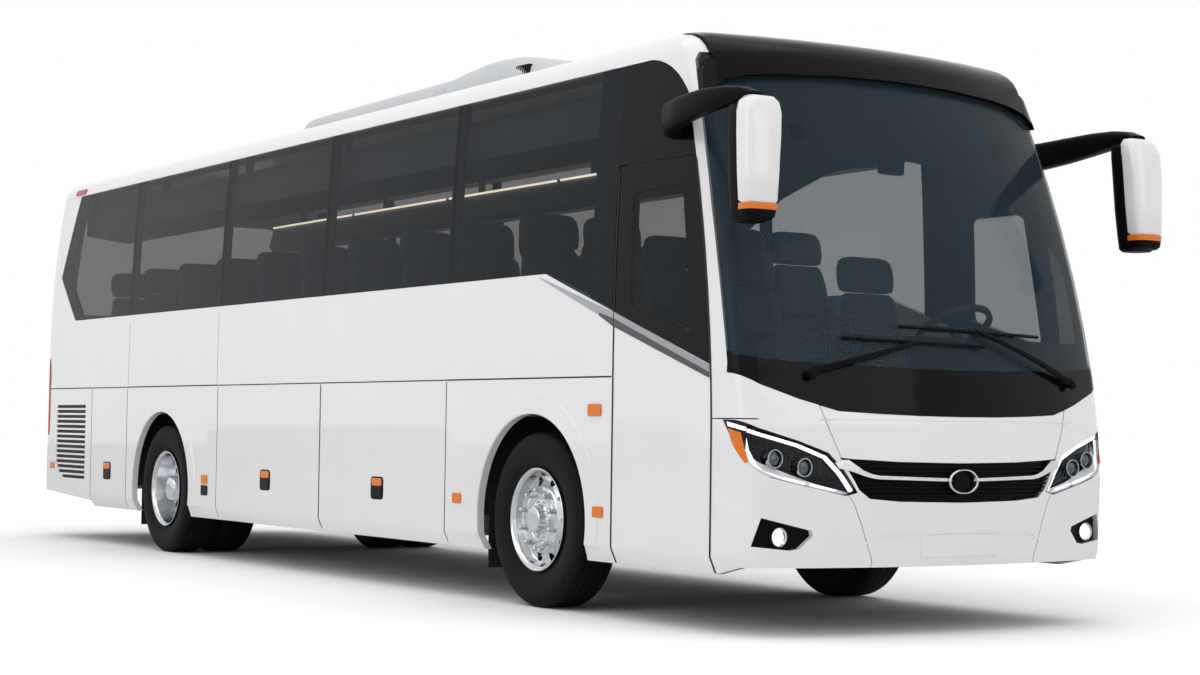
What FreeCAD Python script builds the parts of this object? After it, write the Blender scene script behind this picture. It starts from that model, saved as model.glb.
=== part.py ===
import FreeCAD, Part
import math
import os

V = FreeCAD.Vector

# A single-deck touring coach on two axles, eleven metres long. Z = 0 is the ground, X = 0 the centre plane,
# Y = 0 the middle of the footprint. The front faces -Y and the entry door is on the -X side.

# Driving sizes in plan
wheelbase = 5790.0
front_overhang = 2295.0
rear_overhang = 2900.0
mirror_lead = 95.0
half_width = 1250.0
front_y = mirror_lead - (mirror_lead + front_overhang + wheelbase + rear_overhang) / 2
front_axle_y = front_y + front_overhang
rear_axle_y = front_axle_y + wheelbase
rear_y = rear_axle_y + rear_overhang
front_radius = 3800.0
corner_radius = 140.0
rear_corner_radius = 140.0
face_chords = 4
corner_chords = 4

# Levels of the body
skirt_z = 305.0
crease_z = 395.0
nose_z = 788.0
waist_z = 1323.0
belt_z = 1920.0
cantrail_z = 3031.0
crown_z = 3223.0
skirt_tuck = 40.0
bumper_tuck = 26.0
bumper_setback = 14.0
side_lean = 70.0
windscreen_foot_angle = 11.5
windscreen_profile_radius = 6900.0
rear_lean_z = 1950.0
rear_lean = 140.0
shoulder_radius = 155.0
shoulder_angle = 84.0
brow_radius = 300.0
crown_drop = 52.0

# Walls, glass and clearances
wall = 45.0
glass = 12.0
seam = 6.0
seat_gap = 0.3
overrun = 200.0
round_corner = 70.0

# Stations along the side, from the axles
door_rear_y = front_axle_y - 870.0
door_front_y = front_axle_y - 1800.0
quarter_y = front_axle_y - 850.0
bay_start_y = front_axle_y + 1020.0
bay_length = 1810.0
bay_middle_y = bay_start_y + bay_length
bay_end_y = bay_middle_y + bay_length
service_start_y = rear_axle_y + 765.0
service_length = 863.0
service_end_y = service_start_y + service_length
rear_seam_y = rear_y - 145.0
roof_seam_y = front_axle_y - 770.0


def save(name, shapes):
    """Writes one sub-part as STEP."""
    whole = shapes if isinstance(shapes, Part.Shape) else Part.makeCompound(list(shapes))
    whole.exportStep("parts/" + name + ".step")


def mirrored(shape):
    """The same shape on the other side of the centre plane."""
    return shape.mirror(V(0, 0, 0), V(1, 0, 0))


def box(low, high):
    """A block between two opposite corners."""
    return Part.makeBox(high[0] - low[0], high[1] - low[1], high[2] - low[2], V(*low))


def both(shape):
    """A piece and its mirror image."""
    return [shape, mirrored(shape)]


def outline(place, steps):
    """A closed wire. A step is a pair of coordinates, reached by a line, or a middle and an end, by an arc."""
    edges = []
    last = steps[0]
    for step in list(steps[1:]) + [steps[0]]:
        if isinstance(step[0], tuple):
            edges.append(Part.Arc(place(last), place(step[0]), place(step[1])).toShape())
            last = step[1]
        elif step != last:
            edges.append(Part.LineSegment(place(last), place(step)).toShape())
            last = step
    return Part.Wire(edges)


def rounded(points, radius):
    """The steps of a polygon whose corners are arcs of the given radius."""
    steps = []
    count = len(points)
    for k, corner in enumerate(points):
        before = points[k - 1]
        after = points[(k + 1) % count]
        a = V(before[0] - corner[0], before[1] - corner[1], 0)
        b = V(after[0] - corner[0], after[1] - corner[1], 0)
        half = a.getAngle(b) / 2
        reach = min(radius / math.tan(half), a.Length * corner_share, b.Length * corner_share)
        a.normalize()
        b.normalize()
        start = (corner[0] + a.x * reach, corner[1] + a.y * reach)
        end = (corner[0] + b.x * reach, corner[1] + b.y * reach)
        way = a + b
        way.normalize()
        depth = reach / math.cos(half) - reach * math.tan(half)
        middle = (corner[0] + way.x * depth, corner[1] + way.y * depth)
        steps.append(start)
        steps.append((middle, end))
    return steps


corner_share = 0.45
eye_share = 0.9
brow_foot_z = 2760.0
brow_steps = 3


def side_prism(steps, x0, x1):
    """A prism along X with a side-view outline."""
    wire = outline(lambda p: V(x0, p[0], p[1]), steps)
    return Part.Face(wire).extrude(V(x1 - x0, 0, 0))


def front_prism(steps, y0, y1):
    """A prism along Y with a front-view outline."""
    wire = outline(lambda p: V(p[0], y0, p[1]), steps)
    return Part.Face(wire).extrude(V(0, y1 - y0, 0))


def plan_prism(steps, z0, z1):
    """A prism along Z with a plan outline."""
    wire = outline(lambda p: V(p[0], p[1], z0), steps)
    return Part.Face(wire).extrude(V(0, 0, z1 - z0))


def band(y0, y1, z0, z1):
    """A slab across the whole body between two stations and two levels."""
    reach = half_width + overrun
    return box((-reach, y0, z0), (reach, y1, z1))


right_side = box((-half_width - overrun, front_y - overrun, 0), (-glass, rear_y + overrun, crown_z + overrun))
left_side = mirrored(right_side)

# Outer surface of the body
foot = math.radians(windscreen_foot_angle)
nose_radius = (waist_z - nose_z) / math.sin(foot)
nose_setback = nose_radius * (1 - math.cos(foot))


def front_setback(z):
    """How far the front face stands behind the nose at a level, on the centre plane."""
    if z <= crease_z:
        return bumper_setback + (bumper_tuck - bumper_setback) * (crease_z - z) / (crease_z - skirt_z)
    if z <= nose_z:
        return bumper_setback * (nose_z - z) / (nose_z - crease_z)
    if z <= waist_z:
        return nose_radius - math.sqrt(nose_radius ** 2 - (z - nose_z) ** 2)
    sine = math.sin(foot) + (z - waist_z) / windscreen_profile_radius
    return nose_setback + windscreen_profile_radius * (math.cos(foot) - math.sqrt(1 - sine ** 2))


def side_setback(z):
    """How far the side stands inside the full half width."""
    if z <= crease_z:
        return skirt_tuck * (crease_z - z) / (crease_z - skirt_z)
    if z <= waist_z:
        return 0.0
    return side_lean * ((z - waist_z) / (cantrail_z - waist_z)) ** 2


def rear_setback(z):
    """How far the tail stands ahead of its rearmost face."""
    if z <= rear_lean_z:
        return 0.0
    return rear_lean * ((z - rear_lean_z) / (cantrail_z - rear_lean_z)) ** 2


def front_half(side, front, inset, lead):
    """Points of one half of a front plan section, offset inwards by inset; lead pushes it forward."""
    w = half_width - side - inset
    big = front_radius - inset
    r = max(min(corner_radius - inset, w * corner_share), seam)
    turn = math.asin((w - r) / (big - r))
    middle_y = front_y + front + inset - lead + big
    corner_y = middle_y - (big - r) * math.cos(turn)
    corner_turns = [turn + (math.pi / 2 - turn) * (1 - k / corner_chords) for k in range(corner_chords)]
    face_turns = [turn * (1 - k / face_chords) for k in range(face_chords + 1)]
    corner = [(w - r + r * math.sin(t), corner_y - r * math.cos(t)) for t in corner_turns]
    return corner + [(big * math.sin(t), middle_y - big * math.cos(t)) for t in face_turns]


def front_path(half, back, way):
    """Steps round the front from one side to the other; way is 1 from right to left."""
    w = half[0][0]
    there = [(-way * x, y) for x, y in half]
    return [(-way * w, back)] + there + [(-x, y) for x, y in reversed(there[:-1])] + [(way * w, back)]


def rear_path(side, rear, inset, start, way):
    """Steps round the tail from one side to the other."""
    w = half_width - side - inset
    ry = rear_y - rear - inset
    r = max(min(rear_corner_radius - inset, w * corner_share), seam)
    turns = [math.pi / 2 * (1 - k / corner_chords) for k in range(corner_chords + 1)]
    there = [(-way * (w - r + r * math.sin(t)), ry - r + r * math.cos(t)) for t in turns]
    return [(-way * w, start)] + there + [(-x, y) for x, y in reversed(there)] + [(way * w, start)]


def flat_wire(steps, z):
    """A closed plan wire at a level."""
    return outline(lambda p: V(p[0], p[1], z), steps)


def front_ring(z, side, front, outer, inner, back, lead=0.0):
    """A U-shaped plan section of the front wall, between two insets."""
    return flat_wire(front_path(front_half(side, front, outer, lead), back, 1)
                     + front_path(front_half(side, front, inner, 0.0), back, -1), z)


def rear_ring(z, side, rear, outer, inner, start):
    """A U-shaped plan section of the tail wall."""
    return flat_wire(rear_path(side, rear, outer, start, -1) + rear_path(side, rear, inner, start, 1), z)


def front_shell(levels, outer, inner, back, lead=0.0):
    """The front wall between two insets, through the given levels."""
    return Part.makeLoft([front_ring(z, side_setback(z), front_setback(z), outer, inner, back, lead)
                          for z in levels], True, True)


def rear_shell(levels, outer, inner, start):
    """The tail wall between two insets, through the given levels."""
    return Part.makeLoft([rear_ring(z, side_setback(z), rear_setback(z), outer, inner, start)
                          for z in levels], True, True)


level_count = 8
upper_levels = [nose_z + (cantrail_z - nose_z) * k / level_count for k in range(level_count + 1)]
tail_count = 5
straight_levels = [waist_z + (rear_lean_z - waist_z) * k / tail_count for k in range(tail_count + 1)]
tail_levels = [rear_lean_z + (cantrail_z - rear_lean_z) * k / tail_count for k in range(tail_count + 1)]
bumper_levels = [skirt_z, crease_z, nose_z]
tail_low_levels = [skirt_z, crease_z, waist_z]

# Levels of the roof: a rounded shoulder up to the ceiling and beyond, then a low crown
lean_angle = math.atan(2 * side_lean / (cantrail_z - waist_z))
rake_sine = math.sin(foot) + (cantrail_z - waist_z) / windscreen_profile_radius
rake_angle = math.asin(rake_sine)
shoulder_shares = [0.0, 0.2, 0.4, 0.6]
upper_shoulder_shares = [0.6, 0.8, 1.0]
crown_shares = [1.0, 0.7, 0.4, 0.1]
crown_front_share = 0.45
roof_reach = 900.0
top_angle = math.radians(shoulder_angle)
shoulder_sine = math.sin(top_angle) - math.sin(lean_angle)


def shoulder_at(share):
    """Rise above the cantrail, side setback and front setback at a share of the shoulder's turn."""
    angle = lean_angle + (top_angle - lean_angle) * share
    rise = shoulder_radius * (math.sin(angle) - math.sin(lean_angle))
    side = side_lean + shoulder_radius * (math.cos(lean_angle) - math.cos(angle))
    turned = (math.sin(angle) - math.sin(lean_angle)) / shoulder_sine
    sine = rake_sine + (math.sin(top_angle) - rake_sine) * turned
    front = front_setback(cantrail_z) + brow_radius * (math.cos(rake_angle) - math.sqrt(1 - sine ** 2))
    return rise, side, front


shoulder_rise, shoulder_side, shoulder_front = shoulder_at(1.0)
ceiling_rise = shoulder_at(shoulder_shares[-1])[0]
ceiling_z = cantrail_z + ceiling_rise
shoulder_z = cantrail_z + shoulder_rise
crown_half = half_width - shoulder_side
crown_radius = crown_half / math.cos(top_angle)


def crown_at(share):
    """Level, side setback and front setback where the crown has narrowed to a share of its width."""
    x = crown_half * share
    rise = math.sqrt(crown_radius ** 2 - x ** 2) - math.sqrt(crown_radius ** 2 - crown_half ** 2)
    more = crown_half - x
    return shoulder_z + rise, shoulder_side + more, shoulder_front + more * crown_front_share


def front_slab(z, side, front, back, lead):
    """A closed plan section of the roof's front."""
    return flat_wire(front_path(front_half(side, front, 0.0, lead), back, 1), z)


def rear_slab(z, side, rear, start):
    """A closed plan section of the roof's tail."""
    return flat_wire(rear_path(side, rear, 0.0, start, -1), z)


def front_roof(back, lead=0.0):
    """The roof's front: a wall up to the ceiling and a thick lid over it."""
    low = [shoulder_at(share) for share in shoulder_shares]
    high = [shoulder_at(share) for share in upper_shoulder_shares]
    top = [crown_at(share) for share in crown_shares]
    deep = back + roof_reach
    walls = Part.makeLoft([front_ring(cantrail_z + h, s, f, 0.0, wall, deep, lead) for h, s, f in low], True, True)
    lid = Part.makeLoft([front_slab(cantrail_z + h, s, f, deep, lead) for h, s, f in high], True, True)
    crown = Part.makeLoft([front_slab(z, s, f, deep, lead) for z, s, f in top], True, True)
    return walls.fuse([lid, crown]).common(band(front_y - overrun, back, 0.0, crown_z + overrun))


def rear_roof(start):
    """The roof's tail, built like its front."""
    low = [shoulder_at(share) for share in shoulder_shares]
    high = [shoulder_at(share) for share in upper_shoulder_shares]
    top = [crown_at(share) for share in crown_shares]
    lean = rear_lean - side_lean
    deep = start - roof_reach
    walls = Part.makeLoft([rear_ring(cantrail_z + h, s, lean + s, 0.0, wall, deep) for h, s, f in low], True, True)
    lid = Part.makeLoft([rear_slab(cantrail_z + h, s, lean + s, deep) for h, s, f in high], True, True)
    rears = [lean + shoulder_side + (s - shoulder_side) * crown_front_share for z, s, f in top]
    crown = Part.makeLoft([rear_slab(z, s, r, deep) for (z, s, f), r in zip(top, rears)], True, True)
    return walls.fuse([lid, crown]).common(band(start, rear_y + overrun, 0.0, crown_z + overrun))


def middle_roof(y0, y1):
    """The roof between two stations, one cross-section all along."""
    rise, side, front = shoulder_at(corner_share)
    low_x = half_width - side_lean
    top_x = half_width - shoulder_side
    mid_x = half_width - side
    inner_high = half_width - shoulder_at(shoulder_shares[-1])[1] - wall
    steps = [(-low_x, cantrail_z), ((-mid_x, cantrail_z + rise), (-top_x, shoulder_z)),
             ((0.0, crown_top_z), (top_x, shoulder_z)), ((mid_x, cantrail_z + rise), (low_x, cantrail_z)),
             (low_x - wall, cantrail_z), (inner_high, ceiling_z), (-inner_high, ceiling_z), (-low_x + wall, cantrail_z)]
    return front_prism(steps, y0, y1)


crown_top_z = shoulder_z + crown_radius - math.sqrt(crown_radius ** 2 - crown_half ** 2)


def side_wall(outer, inner, y0, y1, z0, z1):
    """The right upper side wall between two insets, two stations and two levels."""
    middle_z = (z0 + z1) / 2
    low = half_width - side_setback(z0)
    middle = half_width - side_setback(middle_z)
    top = half_width - side_setback(z1)
    steps = [(-low + outer, z0), ((-middle + outer, middle_z), (-top + outer, z1)),
             (-top + inner, z1), ((-middle + inner, middle_z), (-low + inner, z0))]
    return front_prism(steps, y0, y1)


def skirt_wall(y0, y1, top_z):
    """The right lower side wall between two stations, with its crease."""
    steps = [(-half_width + skirt_tuck, skirt_z), (-half_width, crease_z), (-half_width, top_z),
             (-half_width + wall, top_z), (-half_width + wall, crease_z), (-half_width + skirt_tuck + wall, skirt_z)]
    return front_prism(steps, y0, y1)


os.makedirs("parts", exist_ok=True)

tail_start_y = rear_y - 300.0
front_back_y = quarter_y
upper_front = front_shell(upper_levels, 0.0, wall, front_back_y)
lower_front = front_shell(bumper_levels, 0.0, wall, front_back_y)
face_levels = [z for z in upper_levels if z < belt_z]
face_shell = front_shell(face_levels, 0.0, wall, front_back_y).fuse(lower_front)
far = half_width + overrun
high_z = crown_z + overrun

# Edge of the door and of the white pillar ahead of it, in side view
door_curve_z = 1000.0
door_curve_radius = 5265.0
screen_foot_z = 1382.0
screen_foot_y = front_axle_y - 1926.0
screen_middle_z = 1956.0
screen_middle_y = front_axle_y - 1803.0
screen_top_z = 2990.0
screen_top_y = front_axle_y - 1470.0
door_top_z = 2470.0
ledge_z = door_top_z + seam


def door_edge(z):
    """Station of the door's front edge at a level: upright below, then swept back on a large arc."""
    if z <= door_curve_z:
        return door_front_y
    return door_front_y + door_curve_radius - math.sqrt(door_curve_radius ** 2 - (z - door_curve_z) ** 2)


def door_edge_step(low, high, shift):
    """One arc up the swept edge between two levels."""
    middle = (low + high) / 2
    return (door_edge(middle) + shift, middle), (door_edge(high) + shift, high)


def screen_side(shift):
    """Everything ahead of the pillar's swept front edge."""
    return side_prism([(front_y - overrun, skirt_z), (screen_foot_y - shift, skirt_z), (screen_foot_y - shift, screen_foot_z),
                       ((screen_middle_y - shift, screen_middle_z), (screen_top_y - shift, screen_top_z)),
                       (screen_top_y - shift, high_z), (front_y - overrun, high_z)], -far, far)


def front_view(shares):
    """Front view points, as x and z, from shares of the half width and of the cantrail's level."""
    return [(x * half_width, z * cantrail_z) for x, z in shares]


# Front view lines: lower edges of the black mask, the windscreen and the brow, as x and z pairs
mask_shares = [(1.0096, 0.4408), (0.9208, 0.4197), (0.7608, 0.3959), (0.6816, 0.3867), (0.5920, 0.3771),
               (0.4088, 0.3735), (0.2136, 0.3712)]
glass_shares = [(1.0096, 0.4850), (0.9888, 0.4692), (0.9088, 0.4629), (0.7440, 0.4579), (0.5248, 0.4550),
                (0.2888, 0.4523)]
brow_shares = [(0.9376, 0.9238), (0.8456, 0.9489), (0.7520, 0.9588), (0.6128, 0.9650), (0.3248, 0.9710)]
brow_side_shares = [(0.9208, 0.9660), (0.8936, 0.9832), (0.8712, 0.9885)]
mask_middle_z = 1123.0
glass_middle_z = 1366.0
brow_middle_z = 2950.0
brow_top_x = 1080.0
brow_rear_y = front_axle_y - 1250.0
brow_lead = 38.0
brow_side_y = front_axle_y - 1478.0


def across(points, middle_z):
    """A symmetric line in front view from the +X side to the -X side."""
    return points + [(0.0, middle_z)] + [(-x, z) for x, z in reversed(points)]


def over(points, middle_z, z):
    """The prism between a symmetric front view line and a level."""
    end = points[0][0]
    return front_prism(across(points, middle_z) + [(-end, z), (end, z)], front_y - overrun, 0.0)


above_mask = over(front_view(mask_shares), mask_middle_z, high_z)
below_mask = over(front_view(mask_shares), mask_middle_z, 0.0)
above_glass_line = over(front_view(glass_shares), glass_middle_z, high_z)
brow_sides = front_view(brow_side_shares)
brow_edge = across(front_view(brow_shares), brow_middle_z) + [(-x, z) for x, z in brow_sides]
brow_low = front_prism(brow_edge + list(reversed(brow_sides)), front_y - overrun, brow_side_y)
brow_top = box((-brow_top_x, front_y - overrun, brow_sides[-1][1]), (brow_top_x, brow_rear_y, high_z))
brow_zone = brow_low.fuse(brow_top)

# Windscreen, its black surround with the mask below it, and the brow
screen_area = screen_side(seat_gap).common(above_mask).cut(brow_zone)
windscreen_zone = screen_area.common(above_glass_line)
front_glass = front_shell(upper_levels, 0.0, glass, front_back_y)
front_lining = front_shell(upper_levels, glass + seat_gap, wall, front_back_y)
save("windscreen", front_glass.common(windscreen_zone))
surround_width = 85.0
clear_low_z = 1541.0
clear_high_z = 2840.0
clear_half_low = half_width - side_setback(clear_low_z) - surround_width / 2
clear_half_high = half_width - side_setback(clear_high_z) - surround_width
clear_zone = front_prism(rounded([(-clear_half_low, clear_low_z), (clear_half_low, clear_low_z),
                                  (clear_half_high, clear_high_z), (-clear_half_high, clear_high_z)],
                                 round_corner), front_y - overrun, door_front_y - wall)
surround = front_lining.common(windscreen_zone.cut(clear_zone))
def screen_y(x, z):
    """Station of the outer glass surface at a place in front view."""
    return front_y + front_setback(z) + front_radius - math.sqrt(front_radius ** 2 - x ** 2)


# Each wiper turns on a spindle that stands in a blind bore of the mask; x and z of pivot, blade start and blade end
wiper_sets = [((-895.0, 1328.0), (-687.0, 1516.0), (223.0, 1492.0)),
              ((907.0, 1312.0), (-337.0, 1584.0), (671.0, 1562.0))]
spindle_round = 16.0
spindle_sunk = 25.0
spindle_proud = 45.0


def wiper_spindle(pivot, gap):
    """The spindle of one wiper, or with a gap its bore."""
    x, z = pivot
    return Part.makeCylinder(spindle_round + gap, spindle_proud + spindle_sunk + gap,
                             V(x, screen_y(x, z) - spindle_proud, z), V(0, 1, 0))


mask = upper_front.common(screen_area.cut(above_glass_line))
mask = mask.cut([wiper_spindle(wiper_set[0], seat_gap) for wiper_set in wiper_sets])
save("front_mask", mask.fuse(surround))
brow_levels = [cantrail_z - (cantrail_z - brow_foot_z) * k / brow_steps for k in range(brow_steps, -1, -1)]
brow_wall = front_shell(brow_levels, 0.0, wall, brow_rear_y, brow_lead)
brow = brow_wall.common(brow_zone).fuse(front_roof(brow_rear_y, brow_lead).common(brow_zone))
save("front_brow", brow)

# Headlamps, grille, central panel, fog lamps and bumper
lamp_shares = [(1.0096, 0.3626), (0.9336, 0.3471), (0.7720, 0.3266), (0.6448, 0.3072), (0.5800, 0.2791), (0.5192, 0.2408),
               (0.5728, 0.2359), (0.7736, 0.2540), (0.9552, 0.2715), (0.9968, 0.3072), (1.0096, 0.3312)]
lamp_top_y = front_axle_y - 1889.0
lamp_low_y = front_axle_y - 2023.0
lamp_low_z = 931.0
cap_low_z = 1097.0
lamp_view = front_prism([(-x, z) for x, z in front_view(lamp_shares)], front_y - overrun, 0.0)
lamp_slope = (lamp_top_y - lamp_low_y) / (cap_low_z - lamp_low_z)
lamp_limit = side_prism([(front_y - overrun, 0.0), (lamp_low_y - lamp_slope * lamp_low_z, 0.0),
                         (lamp_low_y + lamp_slope * (waist_z - lamp_low_z), waist_z), (front_y - overrun, waist_z)],
                        -far, far)
lamp_zone = lamp_view.common(lamp_limit)
lamp_zones = lamp_zone.fuse(mirrored(lamp_zone))
centre_low_x = 741.0
centre_high_x = 847.0
centre_high_z = 1172.0
grille_top_shares = [(0.5928, 0.2996), (0.5568, 0.2976), (0.3232, 0.2930)]
grille_low_shares = [(0.5120, 0.2455), (0.4632, 0.2309), (0.3208, 0.2260)]
grille_top_z = 882.0
grille_low_z = 678.0
bumper_low_z = 352.0
grille_top = front_view(grille_top_shares)
grille_low = front_view(grille_low_shares)
centre_edge = [(-centre_high_x, centre_high_z), (-centre_high_x, waist_z), (centre_high_x, waist_z),
               (centre_high_x, centre_high_z)]
centre_area = front_prism(across(grille_top, grille_top_z) + centre_edge, front_y - overrun, 0.0)
centre_zone = centre_area.common(below_mask).cut(lamp_zones)
grille_edge = across(grille_top, grille_top_z) + list(reversed(across(grille_low, grille_low_z)))
grille_zone = front_prism(grille_edge, front_y - overrun, 0.0).cut(lamp_zones)

# Seams beside the central panel, down through the bumper, and between the cap and the bumper
panel_seam_shares = [(0.6776, 0.3867), (0.6448, 0.3487), (0.5928, 0.3009), (0.5880, 0.2700)]
bumper_seam_shares = [(0.5640, 0.2400), (0.5312, 0.2211), (0.5000, 0.1910), (0.4640, 0.1491), (0.4448, 0.1290),
                      (0.4480, 0.0900)]


def seam_prism(points):
    """A thin prism along a line in front view, for cutting a seam."""
    there = [(x - seam / 2, z) for x, z in points]
    back = [(x + seam / 2, z) for x, z in reversed(points)]
    return front_prism(there + back, front_y - overrun, front_y + overrun * 2)


panel_seam = seam_prism(front_view(panel_seam_shares))
bumper_seam = seam_prism(front_view(bumper_seam_shares))
front_seams = both(panel_seam) + both(bumper_seam)
front_seams.append(band(front_y - overrun, door_front_y, cap_low_z - seam / 2, cap_low_z + seam / 2).cut(lamp_zones))
save("front_panel", face_shell.common(centre_zone).cut(front_seams))
fog_shares = [(0.9272, 0.1993), (0.7144, 0.1778), (0.7096, 0.1696), (0.7632, 0.1481), (0.8048, 0.1452), (0.9600, 0.1518),
              (0.9536, 0.1630)]
fog_zone = front_prism([(-x, z) for x, z in front_view(fog_shares)], front_y - overrun, lamp_low_y)
fog_zones = fog_zone.fuse(mirrored(fog_zone))
bumper_area = band(front_y - overrun, door_front_y, 0.0, cap_low_z)
under_cut = side_prism([(front_y - overrun, 0.0), (door_front_y, 0.0), (door_front_y, skirt_z),
                        (lamp_low_y, bumper_low_z), (front_y - overrun, bumper_low_z)], -far, far)
bumper_zone = bumper_area.cut([centre_zone, grille_zone, lamp_zones, fog_zones, under_cut, above_mask])
save("front_bumper", face_shell.common(bumper_zone).cut(front_seams))
recess = 10.0
fog_depth = 30.0
grille_levels = [grille_low_z - wall, nose_z, grille_top_z + wall]
fog_levels = [crease_z, nose_z]
slat_depth = 26.0
slat_height = 7.0
slat_pitch = 21.0
slat_low_z = 712.0
slat_count = 8
bar_height = 16.0
bar_end_height = 34.0
bar_shares = [(0.6104, 0.2923), (0.5568, 0.2900), (0.4944, 0.2745), (0.4200, 0.2690), (0.0960, 0.2646)]
bar_end_lift_z = 26.0
grille_plate = front_shell(grille_levels, wall - slat_depth / 2, wall, front_back_y).common(grille_zone)
slat_stock = front_shell(grille_levels, recess, wall, front_back_y).common(grille_zone)
slats = [slat_stock.common(band(front_y - overrun, 0.0, slat_low_z + slat_pitch * k,
                                slat_low_z + slat_pitch * k + slat_height)) for k in range(slat_count)]
bar_line = front_view(bar_shares)
bar_line = bar_line + [(-x, z) for x, z in reversed(bar_line)]
bar_low = [(x, z - bar_height) for x, z in bar_line[1:-1]]
bar_area = front_prism(bar_line + list(reversed(bar_low)), front_y - overrun, 0.0)
bar_stock = front_shell(grille_levels, 0.0, wall, front_back_y).common(grille_zone)
grille_plate = grille_plate.fuse(slats + [bar_stock.common(bar_area)])
fog_plate = front_shell(fog_levels, fog_depth, wall, front_back_y).common(fog_zones)
ring_radius = 68.0
ring_width = 9.0
ring_z = 789.0
ring_proud = 15.0
ring = Part.makeCylinder(ring_radius, ring_proud + recess + wall / 2, V(0, front_y - ring_proud, ring_z), V(0, 1, 0))
ring = ring.cut(Part.makeCylinder(ring_radius - ring_width, ring_proud + recess, V(0, front_y - ring_proud, ring_z),
                                  V(0, 1, 0)))
save("grille", [grille_plate.fuse(ring), fog_plate])
fog_x = 1057.0
fog_z = 507.0
fog_radius = 40.0
fog_y = front_axle_y - 2090.0
fog_length = 50.0
fog_lamp = Part.makeCylinder(fog_radius, fog_length, V(-fog_x, fog_y, fog_z), V(0, 1, 0)).cut(fog_plate)
fog_lamp = max(fog_lamp.Solids, key=lambda s: s.Volume)
save("headlamps", [face_shell.common(lamp_zones)] + both(fog_lamp))

# White cap: pillars, front corner panels and the front of the roof
quarter_knee_y = front_axle_y - 1335.0
quarter_knee_z = 2950.0
quarter_top_y = front_axle_y - 990.0
quarter_edge_z = 2812.0


def quarter_prism(shift):
    """The quarter panel behind the pillar; shift draws its curved edges back."""
    return side_prism([(quarter_y, ledge_z), (quarter_y, cantrail_z), (quarter_top_y + shift, cantrail_z),
                       ((quarter_knee_y + shift, quarter_knee_z - shift),
                        (door_edge(quarter_edge_z) + shift, quarter_edge_z)),
                       door_edge_step(quarter_edge_z, ledge_z, shift)], -far, far)


cap_side = side_prism([(front_y - overrun, cap_low_z), (door_edge(cap_low_z), cap_low_z),
                       door_edge_step(cap_low_z, ledge_z, 0.0), (quarter_y, ledge_z), (quarter_y, cantrail_z),
                       (front_y - overrun, cantrail_z)], -far, far)
screen_hole = screen_side(0.0).common(above_mask)
cap_zone = cap_side.cut([quarter_prism(0.0), screen_hole, brow_zone, centre_zone, lamp_zones])
cap_roof = front_roof(roof_seam_y).cut(brow_zone)
save("front_cap", upper_front.common(cap_zone).cut(front_seams).fuse(cap_roof))
save("roof", middle_roof(roof_seam_y, tail_start_y))

# Side walls. The black band of glass starts on a slanted line at the front and ends on a raked line at the rear.
stripe_end_z = 1366.0
stripe_rear_z = 1674.0
stripe_slope = (stripe_rear_z - stripe_end_z) / (door_rear_y - door_front_y)
stripe_start_y = door_front_y + (belt_z - stripe_end_z) / stripe_slope
band_rear_top_y = rear_axle_y + 2216.0
band_tail_y = rear_axle_y + 2565.0
band_tail_z = 2318.0
band_rear_low_y = rear_axle_y + 2133.0


def stripe_z(y):
    """Level of the slanted lower edge of the black band at a station."""
    return stripe_end_z + stripe_slope * (y - door_front_y)


def band_outline(front_end_y):
    """The black band's outline behind a station."""
    return [(front_end_y, stripe_z(front_end_y)), (stripe_start_y, belt_z), (band_rear_low_y, belt_z),
            (band_tail_y, band_tail_z), (band_rear_top_y, cantrail_z), (front_end_y, cantrail_z)]


axle_z = 506.0
arch_radius = 609.0
skirt_rise_z = 410.0
skirt_cut = side_prism([(service_start_y, 0.0), (service_start_y, skirt_z), (rear_seam_y, skirt_rise_z),
                        (rear_y + overrun, skirt_rise_z), (rear_y + overrun, 0.0)], -far, far)


def wheel_cut(y):
    """The round wheel opening through both sides."""
    return Part.makeCylinder(arch_radius, far * 2, V(-far, y, axle_z), V(1, 0, 0))


ring_width_share = 0.21
arch_proud = 7.0


def arch_ring(y):
    """The pressed ring round a wheel opening, proud of the right side."""
    x = -half_width - arch_proud
    outer = Part.makeCylinder(arch_radius * (1 + ring_width_share), arch_proud + wall / 2, V(x, y, axle_z), V(1, 0, 0))
    ring = outer.cut(wheel_cut(y)).common(band(front_y, rear_y, crease_z, waist_z))
    return ring.makeChamfer(arch_proud * eye_share, [e for e in ring.Edges if e.BoundBox.XMax < x + seat_gap
                                                     and e.BoundBox.ZLength > arch_radius])


front_bay_panel = skirt_wall(door_rear_y + seam / 2, bay_start_y - seam / 2, waist_z).cut(wheel_cut(front_axle_y)).fuse(arch_ring(front_axle_y))
front_left_panel = skirt_wall(door_front_y, bay_start_y - seam / 2, waist_z).cut(wheel_cut(front_axle_y))
front_left_panel = front_left_panel.fuse(arch_ring(front_axle_y))
rear_bay_panel = skirt_wall(bay_end_y + seam / 2, service_start_y - seam / 2, waist_z).cut(wheel_cut(rear_axle_y))
rear_bay_panel = rear_bay_panel.fuse(arch_ring(rear_axle_y))
tail_panel = skirt_wall(service_end_y + seam / 2, rear_seam_y, waist_z).cut(skirt_cut)
save("lower_side_panels", [front_bay_panel, mirrored(front_left_panel.cut(cap_side))] + both(rear_bay_panel) + both(tail_panel))


def waist_panel(front_end_y):
    """The right white panel between the waist seam and the black band, with the quarter behind the band."""
    skin = side_wall(0.0, wall, front_end_y, tail_start_y, waist_z, cantrail_z)
    return skin.cut(side_prism(band_outline(front_end_y), -far, far))


save("upper_side_panels", [waist_panel(door_rear_y + seam / 2), mirrored(waist_panel(door_front_y).cut(cap_side))])

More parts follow.
